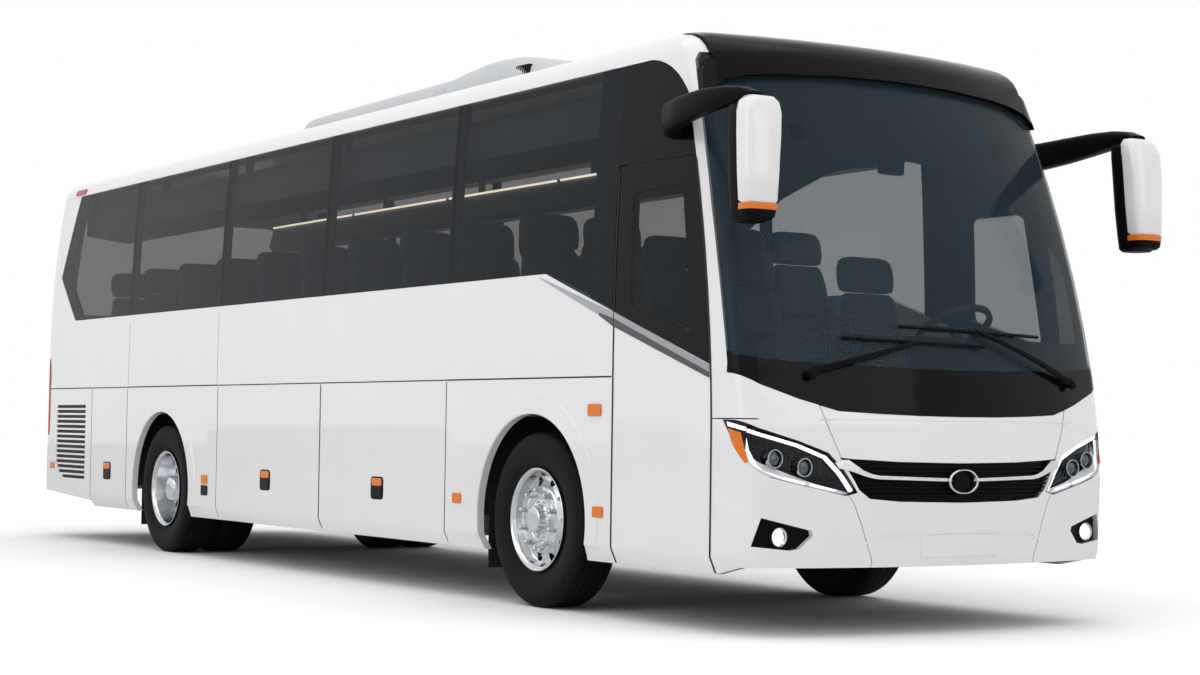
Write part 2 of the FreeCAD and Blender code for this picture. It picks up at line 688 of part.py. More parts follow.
# Posts behind the glass, black quarter panels above the door and on the driver's side
post_half = 50.0
post_stations = [bay_start_y, bay_middle_y, bay_end_y, service_start_y]
front_post_y = quarter_y + 245.0
rear_post_width = 160.0
post_outer = glass + seat_gap
frames = []
for y in post_stations:
    frames = frames + both(side_wall(post_outer, wall, y - post_half, y + post_half, belt_z, cantrail_z))
front_post = side_wall(post_outer, wall, quarter_y + seam, front_post_y, waist_z, cantrail_z)
frames = frames + both(front_post.common(side_prism(band_outline(quarter_y), -far, far)))
rear_post = side_prism([(band_rear_low_y - rear_post_width, belt_z), (band_rear_low_y, belt_z),
                        (band_tail_y, band_tail_z), (band_rear_top_y, cantrail_z),
                        (band_rear_top_y - rear_post_width, cantrail_z),
                        (band_tail_y - rear_post_width, band_tail_z)], -far, far)
frames = frames + both(side_wall(post_outer, wall, service_end_y, band_tail_y, belt_z, cantrail_z).common(rear_post))
door_window_low_rear_z = 1717.0
door_window_low_front_z = 1536.0
door_window_top_z = 2320.0
door_window_rear_y = door_rear_y - 145.0
door_window_front = 150.0
door_window = [(door_window_rear_y, door_window_low_rear_z), (door_window_rear_y, door_window_top_z),
               (door_edge(door_window_top_z) + door_window_front, door_window_top_z),
               (door_edge(door_window_low_front_z) + door_window_front, door_window_low_front_z)]
window_zone = side_prism(rounded(door_window, round_corner / 2), -far, far)
driver_foot_z = stripe_z(door_edge(stripe_end_z + seam))
driver_zone = side_prism([(quarter_y, stripe_z(quarter_y)), (quarter_y, ledge_z), (door_edge(ledge_z) + seat_gap, ledge_z),
                          door_edge_step(ledge_z, driver_foot_z, seat_gap)], -far, far)
cab_wall = side_wall(0.0, wall, door_front_y, quarter_y, waist_z, cantrail_z)
quarter = cab_wall.common(quarter_prism(seat_gap)).cut(brow_zone)
left_band = side_prism(band_outline(door_front_y), -far, far)
driver_frame = cab_wall.common(driver_zone).common(left_band).cut(window_zone)
save("window_frames", frames + [quarter, mirrored(quarter.fuse(driver_frame))])
pane_stations = [quarter_y - seam / 2] + post_stations + [tail_start_y]
band_prism = side_prism(band_outline(quarter_y), -far, far)
panes = []
for y0, y1 in zip(pane_stations, pane_stations[1:]):
    pane = side_wall(0.0, glass, y0 + seam / 2, y1 - seam / 2, waist_z, cantrail_z).common(band_prism)
    panes = panes + both(pane)
window_pane = side_wall(0.0, glass, door_front_y, quarter_y, waist_z, cantrail_z)


door_pane_points = [(y + dy * seat_gap, z + dz * seat_gap) for (y, z), (dy, dz)
                    in zip(door_window, ((-1, 1), (-1, -1), (1, -1), (1, 1)))]
door_pane = window_pane.common(side_prism(rounded(door_pane_points, round_corner / 2), -far, far))
save("side_windows", panes + [mirrored(door_pane)])

# Entry door on the right side, carried on two arms at a turning post
leaf_steps = [(door_rear_y - seam / 2, skirt_z), (door_front_y + seam / 2, skirt_z),
              (door_front_y + seam / 2, door_curve_z), door_edge_step(door_curve_z, door_top_z, seam / 2),
              (door_rear_y - seam / 2, door_top_z)]
leaf_zone = side_prism(leaf_steps, -far, 0.0)
above_stripe = side_prism([(quarter_y, stripe_z(quarter_y)), (front_y, stripe_z(front_y)), (front_y, high_z),
                           (quarter_y, high_z)], -far, far)
leaf_skirt = skirt_wall(door_front_y, door_rear_y, waist_z).common(leaf_zone)
leaf_upper = side_wall(0.0, wall, door_front_y, door_rear_y, waist_z, cantrail_z).common(leaf_zone)
arm_pivot_x = -1160.0
arm_pivot_y = front_axle_y - 1660.0
arm_reach_x = 22.0
arm_reach_y = 420.0
arm_low_z = 600.0
arm_high_z = 1310.0
arm_height = 40.0
arm_width = 36.0
post_radius = 22.0
leaf_pin_x = arm_pivot_x + arm_reach_x
leaf_pin_y = arm_pivot_y + arm_reach_y
pin_radius = 12.0
leaf_inner_x = -(half_width - wall)
brackets = []
for z in (arm_low_z, arm_high_z):
    plate = box((leaf_inner_x - seam, leaf_pin_y - arm_width, z + arm_height / 2 + seat_gap),
                (leaf_pin_x + pin_radius * 2, leaf_pin_y + arm_width, z + arm_height / 2 + seat_gap + pin_radius))
    pin = Part.makeCylinder(pin_radius, arm_height + pin_radius, V(leaf_pin_x, leaf_pin_y, z - arm_height / 2))
    brackets.append(plate.fuse(pin))
save("entry_door", leaf_skirt.fuse([leaf_upper.cut(above_stripe)] + brackets))
save("entry_door_frame", leaf_upper.common(above_stripe).cut(window_zone))
save("entry_door_glass", door_pane)
post_low_z = 420.0
post_high_z = 1400.0
door_arm = Part.makeCylinder(post_radius, post_high_z - post_low_z, V(arm_pivot_x, arm_pivot_y, post_low_z))
for z in (arm_low_z, arm_high_z):
    arm = box((arm_pivot_x - arm_width / 2, arm_pivot_y, z - arm_height / 2),
              (arm_pivot_x + arm_width / 2, leaf_pin_y, z + arm_height / 2))
    eye = Part.makeCylinder(arm_width * eye_share, arm_height, V(leaf_pin_x, leaf_pin_y, z - arm_height / 2))
    arm = arm.fuse(eye).cut(Part.makeCylinder(pin_radius + seat_gap, arm_height * 3,
                                              V(leaf_pin_x, leaf_pin_y, z - arm_height)))
    door_arm = door_arm.fuse(arm)
save("entry_door_arm", door_arm)

# Luggage flaps, service flaps behind the rear wheels and the engine lid, each hung on a pin in its top seam
hinge_radius = seam / 2 - seat_gap
hinge_z = waist_z - seam / 2
hinge_x = half_width - hinge_radius
hinge_pins = []
louvre_margin_y = 150.0
louvre_low_z = 545.0
louvre_high_z = 1180.0
louvre_count = 15
louvre_share = 0.45
louvre_pitch = (louvre_high_z - louvre_low_z) / louvre_count
louvres = []
for k in range(louvre_count):
    z = louvre_low_z + louvre_pitch * k
    louvres.append(box((-far, service_start_y + louvre_margin_y, z), (0.0, service_end_y - louvre_margin_y / 2,
                                                                       z + louvre_pitch * louvre_share)))
for name, y0, y1 in (("luggage_flap_front", bay_start_y, bay_middle_y), ("luggage_flap_rear", bay_middle_y, bay_end_y),
                     ("service_flap", service_start_y, service_end_y)):
    flap = skirt_wall(y0 + seam / 2, y1 - seam / 2, waist_z - seam).cut(skirt_cut)
    if name == "service_flap":
        flap = flap.cut(louvres)
    save(name + "_right", flap)
    save(name + "_left", mirrored(flap))
    hinge_pins = hinge_pins + both(Part.makeCylinder(hinge_radius, y1 - y0 - seam * 3,
                                                     V(-hinge_x, y0 + seam * 3 / 2, hinge_z), V(0, 1, 0)))
lid_half = 930.0
lid_low_z = 640.0
lid_high_z = 1690.0
lid_hole = box((-lid_half - seam, rear_seam_y, lid_low_z - seam), (lid_half + seam, rear_y + overrun, lid_high_z + seam))
save("engine_lid", box((-lid_half, rear_y - wall, lid_low_z), (lid_half, rear_y, lid_high_z)))
lid_hinge_z = lid_high_z + seam / 2
hinge_pins.append(Part.makeCylinder(hinge_radius, lid_half * 2 - seam * 3,
                                    V(-lid_half + seam * 3 / 2, rear_y - hinge_radius, lid_hinge_z), V(1, 0, 0)))
save("flap_hinges", hinge_pins)

# Tail: window, lamps and the white panel around them
rear_half_low = 1010.0
rear_half_high = 940.0
rear_low_z = 2010.0
rear_high_z = 2900.0
rear_corners = [(-rear_half_low, rear_low_z), (rear_half_low, rear_low_z), (rear_half_high, rear_high_z),
                (-rear_half_high, rear_high_z)]
rear_pane_corners = [(x - math.copysign(seat_gap, x), z + (seat_gap if z < rear_high_z else -seat_gap))
                     for x, z in rear_corners]
rear_hole = front_prism(rounded(rear_corners, round_corner), tail_start_y, rear_y + overrun)
rear_fill = front_prism(rounded(rear_pane_corners, round_corner), tail_start_y, rear_y + overrun)
tail_lamp_low_z = 894.0
tail_lamp_high_z = 1588.0
tail_lamp_inner_x = 1110.0
tail_lamp_y = rear_seam_y + 70.0
lamp_box = box((-far, tail_lamp_y, tail_lamp_low_z), (-tail_lamp_inner_x, rear_y + overrun, tail_lamp_high_z))
tail_lower = rear_shell(tail_low_levels, 0.0, wall, rear_seam_y).cut(skirt_cut)
tail_upper = rear_shell(tail_levels, 0.0, wall, tail_start_y)
tail_straight = rear_shell(straight_levels, 0.0, wall, tail_start_y)
tail_glass = rear_shell(tail_levels, 0.0, glass, tail_start_y)
tail_skin = tail_lower.fuse([tail_straight, tail_upper])
tail = tail_skin.cut([lid_hole, rear_hole, lamp_box, mirrored(lamp_box)])
save("rear_panel", tail.fuse(rear_roof(tail_start_y)))
save("rear_window", tail_glass.common(rear_fill))
tail_lamp = tail_lower.common(lamp_box).fuse(tail_straight.common(lamp_box))
save("tail_lamps", both(tail_lamp))

# Roof unit of the air conditioner
unit_front_y = front_axle_y + 450.0
unit_rear_y = front_axle_y + 4090.0
unit_half = 905.0
unit_top_z = 3388.0
unit_foot_z = 3150.0
unit_lip_z = 3232.0
unit_nose_y = unit_front_y + 640.0
unit_tail_y = unit_rear_y - 330.0
unit_tail_knee_y = unit_rear_y - 90.0
unit_round = 60.0
unit_profile = side_prism([(unit_front_y, unit_foot_z), (unit_front_y, unit_lip_z), (unit_nose_y, unit_top_z),
                           (unit_tail_y, unit_top_z),
                           ((unit_tail_knee_y, unit_top_z - unit_round), (unit_rear_y, unit_foot_z))],
                          -unit_half, unit_half)
unit_cross = front_prism(rounded([(-unit_half, unit_foot_z - overrun), (-unit_half, unit_top_z), (unit_half, unit_top_z),
                                  (unit_half, unit_foot_z - overrun)], unit_round), unit_front_y, unit_rear_y)
raised_roof = middle_roof(unit_front_y - overrun, unit_rear_y + overrun)
raised_roof.translate(V(0, 0, seat_gap))
unit = unit_profile.common(unit_cross).cut(raised_roof)
save("roof_ac_unit", max(unit.Solids, key=lambda s: s.Volume))

# Wheels and tyres
tyre_radius = axle_z
tyre_width = 280.0
tyre_centre_x = 1075.0
twin_spacing = 340.0
bead_radius = 288.0
rim_radius = bead_radius - seat_gap
flange_radius = 298.0
rim_wall = 14.0
wheel_sides = 40


def turned(profile, x, y):
    """A many-sided turned body about an axle line, from radius and sideways distance pairs."""
    rings = []
    for k in range(wheel_sides):
        angle = 2 * math.pi * k / wheel_sides
        rings.append([V(-x - d, y + r * math.cos(angle), axle_z + r * math.sin(angle)) for r, d in profile])
    faces = []
    for k, ring in enumerate(rings):
        after = rings[(k + 1) % wheel_sides]
        for n in range(len(profile)):
            m = (n + 1) % len(profile)
            corners = [ring[n], ring[m], after[m], after[n]]
            if profile[n][0] == 0.0 and profile[m][0] == 0.0:
                continue
            if profile[n][0] == 0.0:
                corners = corners[:3]
            if profile[m][0] == 0.0:
                corners = [corners[0], corners[1], corners[3]]
            faces.append(Part.Face(Part.makePolygon(corners + corners[:1])))
    solid = Part.Solid(Part.Shell(faces))
    if solid.Volume < 0:
        solid.reverse()
    return solid


tread_half = 104.0
shoulder_half = 126.0
bead_half = 101.0
shoulder_drop = 17.0
flank_drop = 82.0


def tyre(x, y):
    """A tyre on the right side: flat tread, bevelled shoulders and straight sidewalls down to the bead."""
    half = tyre_width / 2
    side = [(tyre_radius, tread_half), (tyre_radius - shoulder_drop, shoulder_half), (tyre_radius - flank_drop, half),
            (bead_radius, bead_half)]
    return turned([(r, -d) for r, d in reversed(side)] + side, x, y)


def ring_of(profile, y):
    """A turned body on the right side from radius and side distance pairs."""
    return turned(profile, 0.0, y)


hub_radius = 140.0
hub_bore = 46.0
hole_count = 10
hole_circle = 228.0
hole_radius = 27.0


def rim(x_inner, x_outer, disc_x, hub_x, y):
    """A disc wheel: barrel, dished disc with hand holes and a hub with its bore."""
    barrel = ring_of([(rim_radius, x_inner), (rim_radius, x_outer - rim_wall), (flange_radius, x_outer),
                      (rim_radius - rim_wall, x_outer), (rim_radius - rim_wall * 2, x_outer - rim_wall * 3),
                      (rim_radius - rim_wall * 2, x_inner)], y)
    disc = ring_of([(rim_radius - rim_wall * 1.5, disc_x - rim_wall), (hub_radius, hub_x - rim_wall), (hub_radius, hub_x),
                    (rim_radius - rim_wall * 1.5, disc_x)], y)
    for k in range(hole_count):
        angle = 2 * math.pi * k / hole_count
        centre = V(0, y + hole_circle * math.cos(angle), axle_z + hole_circle * math.sin(angle))
        hole = Part.makePolygon([V(-x_outer - rim_wall, centre.y + hole_radius * math.cos(angle + math.pi * (n + 0.5) / 4),
                                   centre.z + hole_radius * math.sin(angle + math.pi * (n + 0.5) / 4)) for n in range(9)])
        disc = disc.cut(Part.Face(hole).extrude(V(x_outer - x_inner + rim_wall * 2, 0, 0)))
    return barrel.fuse(disc)


front_disc_x = 1130.0
front_hub_x = 1172.0
hub_inner_x = 1075.0
spindle_end_x = 1180.0
hub_cap_x = 1232.0
cap_radius = 62.0
front_hub = ring_of([(hub_bore, hub_inner_x), (hub_radius + seam, hub_inner_x), (hub_radius + seam, front_hub_x),
                     (cap_radius * 1.25, front_hub_x + seam), (cap_radius, hub_cap_x), (0.0, hub_cap_x),
                     (0.0, spindle_end_x + seat_gap), (hub_bore, spindle_end_x + seat_gap)], front_axle_y)
tyre_inner_x = tyre_centre_x - bead_half
tyre_outer_x = tyre_centre_x + bead_half + rim_wall * 2
front_rim = rim(tyre_inner_x, tyre_outer_x, front_disc_x, front_hub_x, front_axle_y).fuse(front_hub)
rear_disc_x = 1010.0
rear_hub_x = 985.0
rear_spindle_end_x = 1010.0
rear_cap_x = 1175.0
rear_hub_inner_x = 900.0
rear_hub = ring_of([(hub_bore, rear_hub_inner_x), (hub_radius + seam, rear_hub_inner_x), (hub_radius + seam, rear_hub_x),
                    (cap_radius * 1.5, rear_hub_x + seam), (cap_radius * 1.25, rear_cap_x), (0.0, rear_cap_x),
                    (0.0, rear_spindle_end_x + seat_gap), (hub_bore, rear_spindle_end_x + seat_gap)], rear_axle_y)
twin_centre_x = tyre_centre_x - twin_spacing
twin_inner_x = twin_centre_x - bead_half
rear_rim = rim(twin_inner_x, tyre_outer_x, rear_disc_x - rim_wall, rear_hub_x, rear_axle_y).fuse(rear_hub)
for name, shape in (("wheel_front", front_rim), ("wheel_rear", rear_rim)):
    save(name + "_right", shape)
    save(name + "_left", mirrored(shape))
front_tyre = tyre(tyre_centre_x, front_axle_y)
rear_tyres = Part.makeCompound([tyre(tyre_centre_x, rear_axle_y), tyre(twin_centre_x, rear_axle_y)])
for name, shape in (("tyre_front", front_tyre), ("tyres_rear", rear_tyres)):
    save(name + "_right", shape)
    save(name + "_left", mirrored(shape))

# Steering knuckles and the axles that carry the wheels
king_pin_x = 920.0
king_pin_radius = 25.0
eye_radius = 60.0
eye_half = 60.0
ear_height = 40.0
ear_gap = seat_gap
spindle_radius = hub_bore - seat_gap
pin = Part.makeCylinder(king_pin_radius, (eye_half + ear_height) * 2, V(-king_pin_x, front_axle_y, axle_z - eye_half - ear_height))
knuckle = pin
for z in (axle_z - eye_half - ear_height - ear_gap, axle_z + eye_half + ear_gap):
    ear = Part.makeCylinder(eye_radius, ear_height, V(-king_pin_x, front_axle_y, z))
    web = box((-king_pin_x - eye_radius - ear_height, front_axle_y - eye_radius, z), (-king_pin_x, front_axle_y + eye_radius, z + ear_height))
    knuckle = knuckle.fuse(ear).fuse(web)
plate_x = king_pin_x + eye_radius + seam
knuckle = knuckle.fuse(box((-plate_x - ear_height, front_axle_y - eye_radius, axle_z - eye_half - ear_height),
                           (-plate_x, front_axle_y + eye_radius, axle_z + eye_half + ear_height)))
knuckle = knuckle.fuse(Part.makeCylinder(spindle_radius, spindle_end_x - plate_x, V(-plate_x, front_axle_y, axle_z), V(-1, 0, 0)))
save("knuckle_right", knuckle)
save("knuckle_left", mirrored(knuckle))
beam_half = 55.0
beam_drop = eye_half - beam_half
spring_pad_x = 520.0
spring_radius = 120.0
frame_low_z = 720.0
axle_beam = box((-king_pin_x + eye_radius / 2, front_axle_y - beam_half, axle_z - beam_half - beam_drop),
                (king_pin_x - eye_radius / 2, front_axle_y + beam_half, axle_z + beam_half - beam_drop))
for side in (-1, 1):
    eye = Part.makeCylinder(eye_radius, eye_half * 2, V(side * king_pin_x, front_axle_y, axle_z - eye_half))
    axle_beam = axle_beam.fuse(eye)
for side in (-1, 1):
    bore = Part.makeCylinder(king_pin_radius + seat_gap, overrun * 2, V(side * king_pin_x, front_axle_y, axle_z - overrun))
    axle_beam = axle_beam.cut(bore)
rail_centre_x = 405.0
rail_half = 32.0
spring_top_z = frame_low_z
air_springs = []
for side in (-1, 1):
    spring = Part.makeCylinder(rail_half * 2, spring_top_z - axle_z - beam_half + beam_drop,
                               V(side * rail_centre_x, front_axle_y, axle_z + beam_half - beam_drop))
    axle_beam = axle_beam.fuse(spring)
save("front_axle", axle_beam)
tube_radius = 85.0
banjo_radius = 215.0
banjo_half = 150.0
rear_axle = Part.makeCylinder(tube_radius, rear_hub_inner_x * 2 - seam * 4, V(-rear_hub_inner_x + seam * 2, rear_axle_y, axle_z), V(1, 0, 0))
rear_axle = rear_axle.fuse(Part.makeCylinder(banjo_radius, banjo_half * 2, V(-banjo_half, rear_axle_y, axle_z), V(1, 0, 0)))
rear_axle = rear_axle.fuse(Part.makeCylinder(spindle_radius, rear_spindle_end_x * 2, V(-rear_spindle_end_x, rear_axle_y, axle_z), V(1, 0, 0)))
for side in (-1, 1):
    rear_axle = rear_axle.fuse(Part.makeCylinder(rail_half * 2, spring_top_z - axle_z, V(side * rail_centre_x, rear_axle_y, axle_z)))
save("rear_axle", rear_axle)

# Chassis: rails, cross members, luggage hold and wheel houses, all under the floor
floor_z = 1150.0
floor_thick = 40.0
floor_under_z = floor_z - floor_thick
cab_floor_z = 900.0
inner_x = half_width - wall - seat_gap
house_half_y = 640.0
house_front_x = 560.0
house_rear_x = 545.0
plate = 8.0
chassis = []
rail_high_z = 860.0
front_rail_start_y = front_axle_y - 1880.0
rear_rail_end_y = rear_axle_y + 2750.0
for side in (-1, 1):
    x0 = side * rail_centre_x - rail_half
    x1 = side * rail_centre_x + rail_half
    chassis.append(box((x0, front_rail_start_y, frame_low_z), (x1, bay_start_y, rail_high_z)))
    chassis.append(box((x0, bay_end_y, frame_low_z), (x1, rear_rail_end_y, rail_high_z)))
jack_half = 60.0
jack_drop = 20.0
for y in (front_axle_y - house_half_y, rear_axle_y - house_half_y):
    for side in (-1, 1):
        chassis.append(box((side * rail_centre_x - rail_half, y - jack_half, frame_low_z - jack_drop),
                           (side * rail_centre_x + rail_half, y + jack_half, frame_low_z)))
tow_block = 90.0
tow_height = 70.0
tow_radius = 20.5
tow_x = rail_centre_x
for y, way in ((front_rail_start_y, -1), (rear_rail_end_y, 1)):
    block = box((-tow_x - rail_half, min(y, y + way * tow_block), frame_low_z),
                (-tow_x + rail_half, max(y, y + way * tow_block), frame_low_z + tow_height))
    bore_y = y + way * tow_block / 2
    chassis.append(block.cut(Part.makeCylinder(tow_radius, tow_height, V(-tow_x, bore_y, frame_low_z))))
save("chassis_rails", Part.makeCompound(chassis))
hold_floor_z = 360.0
hold_plate = 30.0
hold_edge_x = 1180.0
bulkhead_x = half_width - wall - seam * 2
hold = [box((-hold_edge_x, bay_start_y, hold_floor_z), (hold_edge_x, bay_end_y, hold_floor_z + hold_plate))]
for y in (bay_start_y, bay_middle_y - hold_plate / 2, bay_end_y - hold_plate):
    hold.append(box((-bulkhead_x, y, hold_floor_z + hold_plate), (bulkhead_x, y + hold_plate, floor_under_z)))
save("luggage_hold", hold[0].fuse(hold[1:]))
houses = []
for y, x in ((front_axle_y, house_front_x), (rear_axle_y, house_rear_x)):
    outer = box((-inner_x, y - house_half_y, frame_low_z), (-x, y + house_half_y, floor_under_z))
    hollow = box((-inner_x - overrun, y - house_half_y + plate, 0), (-x - plate, y + house_half_y - plate, floor_under_z - plate))
    low = box((-inner_x, y - house_half_y, skirt_z + overrun), (-x - overrun, y + house_half_y, floor_under_z))
    houses = houses + both(outer.fuse(low).cut(hollow))
save("wheel_houses", houses)

# Floors, with the entry steps beside the door
cab_front_y = front_axle_y - 2050.0
step_y = front_axle_y - house_half_y - plate
tail_floor_y = rear_y - wall - seam
saloon = box((-inner_x, step_y, floor_under_z), (inner_x, tail_floor_y - corner_radius, floor_z))
riser = box((-inner_x, step_y - floor_thick, cab_floor_z), (inner_x, step_y, floor_z))
well_x = 640.0
well_y = door_rear_y - seam
well_front_y = door_front_y + wall * 2
cab_edge = half_width - wall * 3
cab_floor = box((-well_x, cab_front_y, cab_floor_z - floor_thick), (inner_x - wall, step_y, cab_floor_z))
cab_back = box((-inner_x, well_y, cab_floor_z - floor_thick), (-well_x, step_y, cab_floor_z))
step_low_z = 380.0
step_depth = 190.0
step_middle_z = (step_low_z + cab_floor_z) / 2
well = [box((-inner_x + wall, well_front_y, step_low_z - plate), (-well_x, well_y, step_low_z)),
        box((-well_x - step_depth, well_front_y, step_low_z), (-well_x, well_y, step_middle_z)),
        box((-well_x - plate, well_front_y, step_middle_z), (-well_x, well_y, cab_floor_z))]
save("floor", saloon.fuse([riser, cab_floor, cab_back] + well))

# Seats
seat_pitch = 775.0
row_count = 10
first_row_y = front_axle_y - 260.0
seat_half = 460.0
seat_wall_gap = 40.0
seat_points = [(0.0, 300.0), (0.0, 450.0), (430.0, 430.0), (560.0, 1010.0), (590.0, 1170.0), (660.0, 1165.0), (650.0, 1000.0),
               (530.0, 300.0), (480.0, 0.0), (120.0, 0.0), (120.0, 300.0)]


def seat(x0, x1, y, z):
    """A closed seat block: foot, cushion, raked back and headrest."""
    return side_prism([(y + a, z + seat_gap + b) for a, b in seat_points], x0, x1)


seats = []
seat_outer_x = half_width - wall - seat_wall_gap
for k in range(row_count):
    y = first_row_y + k * seat_pitch
    seats.append(seat(-seat_outer_x, -seat_outer_x + seat_half * 2, y, floor_z))
    seats.append(seat(seat_outer_x - seat_half * 2, seat_outer_x, y, floor_z))
save("passenger_seats", seats)
driver_x = 560.0
guide_x = -330.0
front_seat_half = 235.0
front_seat_y = front_axle_y - 1420.0
save("front_seats", [seat(x - front_seat_half, x + front_seat_half, front_seat_y, cab_floor_z) for x in (driver_x, guide_x)])

# Dashboard, steering wheel and racks
dash_low_x = -560.0
dash_high_x = half_width - wall * 3
dash_rear_y = front_axle_y - 1760.0
dash_front_y = front_axle_y - 1990.0
dash_top_z = 1420.0
wheel_centre = V(driver_x, front_axle_y - 1600.0, 1610.0)
wheel_axis = V(0, 0.62, 1)
wheel_axis.normalize()
steer_radius = 225.0
steer_tube = 15.0
column_length = 235.0
housing_length = 120.0
steering = Part.makeCylinder(steer_radius, steer_tube * 2, wheel_centre, wheel_axis)
steering = steering.cut(Part.makeCylinder(steer_radius - steer_tube * 2, steer_tube * 6, wheel_centre - wheel_axis * steer_tube * 2, wheel_axis))
spoke = Part.makeBox(steer_radius * 2 - steer_tube * 2, steer_tube * 3, steer_tube, V(-steer_radius + steer_tube, -steer_tube * 1.5, 0))
spoke.Placement = FreeCAD.Placement(wheel_centre, FreeCAD.Rotation(V(0, 0, 1), wheel_axis))
column_end = wheel_centre - wheel_axis * (column_length + seat_gap)
housing = Part.makeCylinder(steer_tube * 3, housing_length, column_end, wheel_axis.negative())
dash = side_prism([(dash_rear_y, cab_floor_z), (dash_front_y, cab_floor_z), (dash_front_y, dash_top_z - wall),
                   (dash_front_y + wall, dash_top_z), (dash_rear_y + wall, dash_top_z - wall)], dash_low_x, dash_high_x)
save("dashboard", dash.fuse(housing))
column = Part.makeCylinder(steer_tube * 2, column_length, wheel_centre - wheel_axis * column_length, wheel_axis)
save("steering_wheel", steering.fuse([spoke, column]))
rack_outer_x = half_width - side_lean - wall - seat_wall_gap
rack_width = 380.0
hanger_width = 60.0
hanger_thick = 20.0
hanger_count = 6
rack_low_z = 2640.0
rack_high_z = 2860.0
rack_start_y = front_axle_y - 500.0
rack_end_y = rear_axle_y + 2300.0
rack = front_prism([(-rack_outer_x, rack_low_z + wall), (-rack_outer_x + rack_width, rack_low_z),
                    (-rack_outer_x + rack_width + wall, rack_low_z + wall), (-rack_outer_x + rack_width, rack_high_z),
                    (-rack_outer_x + wall, rack_high_z + wall * 2), (-rack_outer_x, rack_high_z)], rack_start_y, rack_end_y)
hanger_x = rack_outer_x - hanger_width - wall
hangers = []
for k in range(hanger_count):
    y = rack_start_y + (rack_end_y - rack_start_y - hanger_thick) * k / (hanger_count - 1)
    hangers.append(box((-hanger_x - hanger_width, y, rack_high_z), (-hanger_x, y + hanger_thick, ceiling_z)))
save("luggage_racks", both(rack.fuse(hangers)))

# Engine block behind the rear axle
engine_half = rail_centre_x - rail_half
engine_y = rear_axle_y + 1100.0
engine_length = 1350.0
save("engine_block", box((-engine_half, engine_y, hold_floor_z + wall), (engine_half, engine_y + engine_length, floor_under_z - wall)))

# Mirrors, wipers, small side lamps and mud flaps
mirror_in_x = 1200.0
mirror_out_x = 1440.0
mirror_low_z = 2065.0
mirror_high_z = 2690.0
mirror_front_y = front_y - mirror_lead
mirror_depth = 210.0
mirror_round = 55.0
mirror_corners = [(-mirror_out_x, mirror_low_z), (-mirror_in_x, mirror_low_z), (-mirror_in_x, mirror_high_z),
                  (-mirror_out_x, mirror_high_z)]
head = front_prism(rounded(mirror_corners, mirror_round), mirror_front_y, mirror_front_y + mirror_depth)
front_edges = [e for e in head.Edges if e.BoundBox.YMax < mirror_front_y + seam]
head = head.makeChamfer(mirror_round / 2, front_edges)
arm_base_y = front_axle_y - 1500.0
arm_base_z = 2665.0
arm_top_z = 2795.0
arm_root_y = front_axle_y - 1270.0
arm_out_x = 1330.0
arm_in_x = half_width - side_setback(arm_base_z) + seat_gap
mirror_arm = plan_prism([(-arm_in_x, arm_root_y), (-arm_in_x, arm_base_y), (-arm_in_x, arm_base_y - overrun),
                         (-arm_in_x - wall, mirror_front_y + mirror_depth / 2),
                         (-arm_out_x, mirror_front_y + mirror_depth / 2), (-arm_out_x, arm_base_y - overrun),
                         (-arm_in_x - wall, arm_root_y)], arm_base_z, arm_top_z)
save("mirrors", both(head.fuse(mirror_arm)))


def glass_point(x, z, off):
    """A point ahead of the glass by off, measured square to its rake."""
    slope = (front_setback(z + seam) - front_setback(z - seam)) / (seam * 2)
    turn = x / front_radius
    return V(x + off * math.sin(turn), screen_y(x, z) - off * math.cos(turn), z + off * slope)


wiper_gap = 3.0
wiper_radius = 9.0
arm_radius = 11.0
arm_rise = 22.0


bar_joints = 4


def bent_bar(a, middle, b, radius):
    """A square bar bent along an arc through three points."""
    path = Part.Arc(a, middle, b)
    rings = []
    for k in range(bar_joints + 1):
        share = path.FirstParameter + (path.LastParameter - path.FirstParameter) * k / bar_joints
        centre = path.value(share)
        across = V(*path.tangent(share)[0]).cross(V(0, 1, 0))
        across.normalize()
        corners = [centre + across * radius, centre + V(0, radius, 0), centre - across * radius, centre - V(0, radius, 0)]
        rings.append(Part.makePolygon(corners + corners[:1]))
    return Part.makeLoft(rings, True, True)


wipers = []
for pivot, start, end in wiper_sets:
    centre = ((start[0] + end[0]) / 2, (start[1] + end[1]) / 2)
    low = wiper_gap + wiper_radius
    blade = bent_bar(glass_point(start[0], start[1], low), glass_point(centre[0], centre[1], low),
                     glass_point(end[0], end[1], low), wiper_radius)
    high = low + arm_radius
    elbow = ((pivot[0] + centre[0]) / 2, (pivot[1] + centre[1]) / 2)
    arm = bent_bar(glass_point(pivot[0], pivot[1], high), glass_point(elbow[0], elbow[1], high + arm_rise),
                   glass_point(centre[0], centre[1], high), arm_radius)
    wipers.append(blade.fuse([arm, wiper_spindle(pivot, 0.0)]))
save("wipers", wipers)
lamp_size = 60.0
lamp_depth = 8.0
lamp_places = [(front_axle_y + 1150.0, 540.0), (front_axle_y - 780.0, 520.0), (bay_end_y + 220.0, 595.0), (rear_y - 287.0, 636.0)]
markers = []
for y, z in lamp_places:
    markers = markers + both(box((-half_width - lamp_depth, y - lamp_size / 2, z - lamp_size / 2), (-half_width - seat_gap, y + lamp_size / 2, z + lamp_size / 2)))
save("side_lamps", markers)
flap_thick = 12.0
flap_width = 300.0
flap_low_z = 190.0
mud_flaps = []
for y in (front_axle_y + house_half_y - plate - flap_thick - seat_gap, rear_axle_y + house_half_y - plate - flap_thick - seat_gap):
    mud_flaps = mud_flaps + both(box((-inner_x + wall, y, flap_low_z), (-inner_x + wall + flap_width, y + flap_thick, skirt_z + overrun * 2)))
save("mud_flaps", mud_flaps)
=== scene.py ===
import math

import bmesh
import bpy
from mathutils import Matrix, Vector
from mathutils.bvhtree import BVHTree


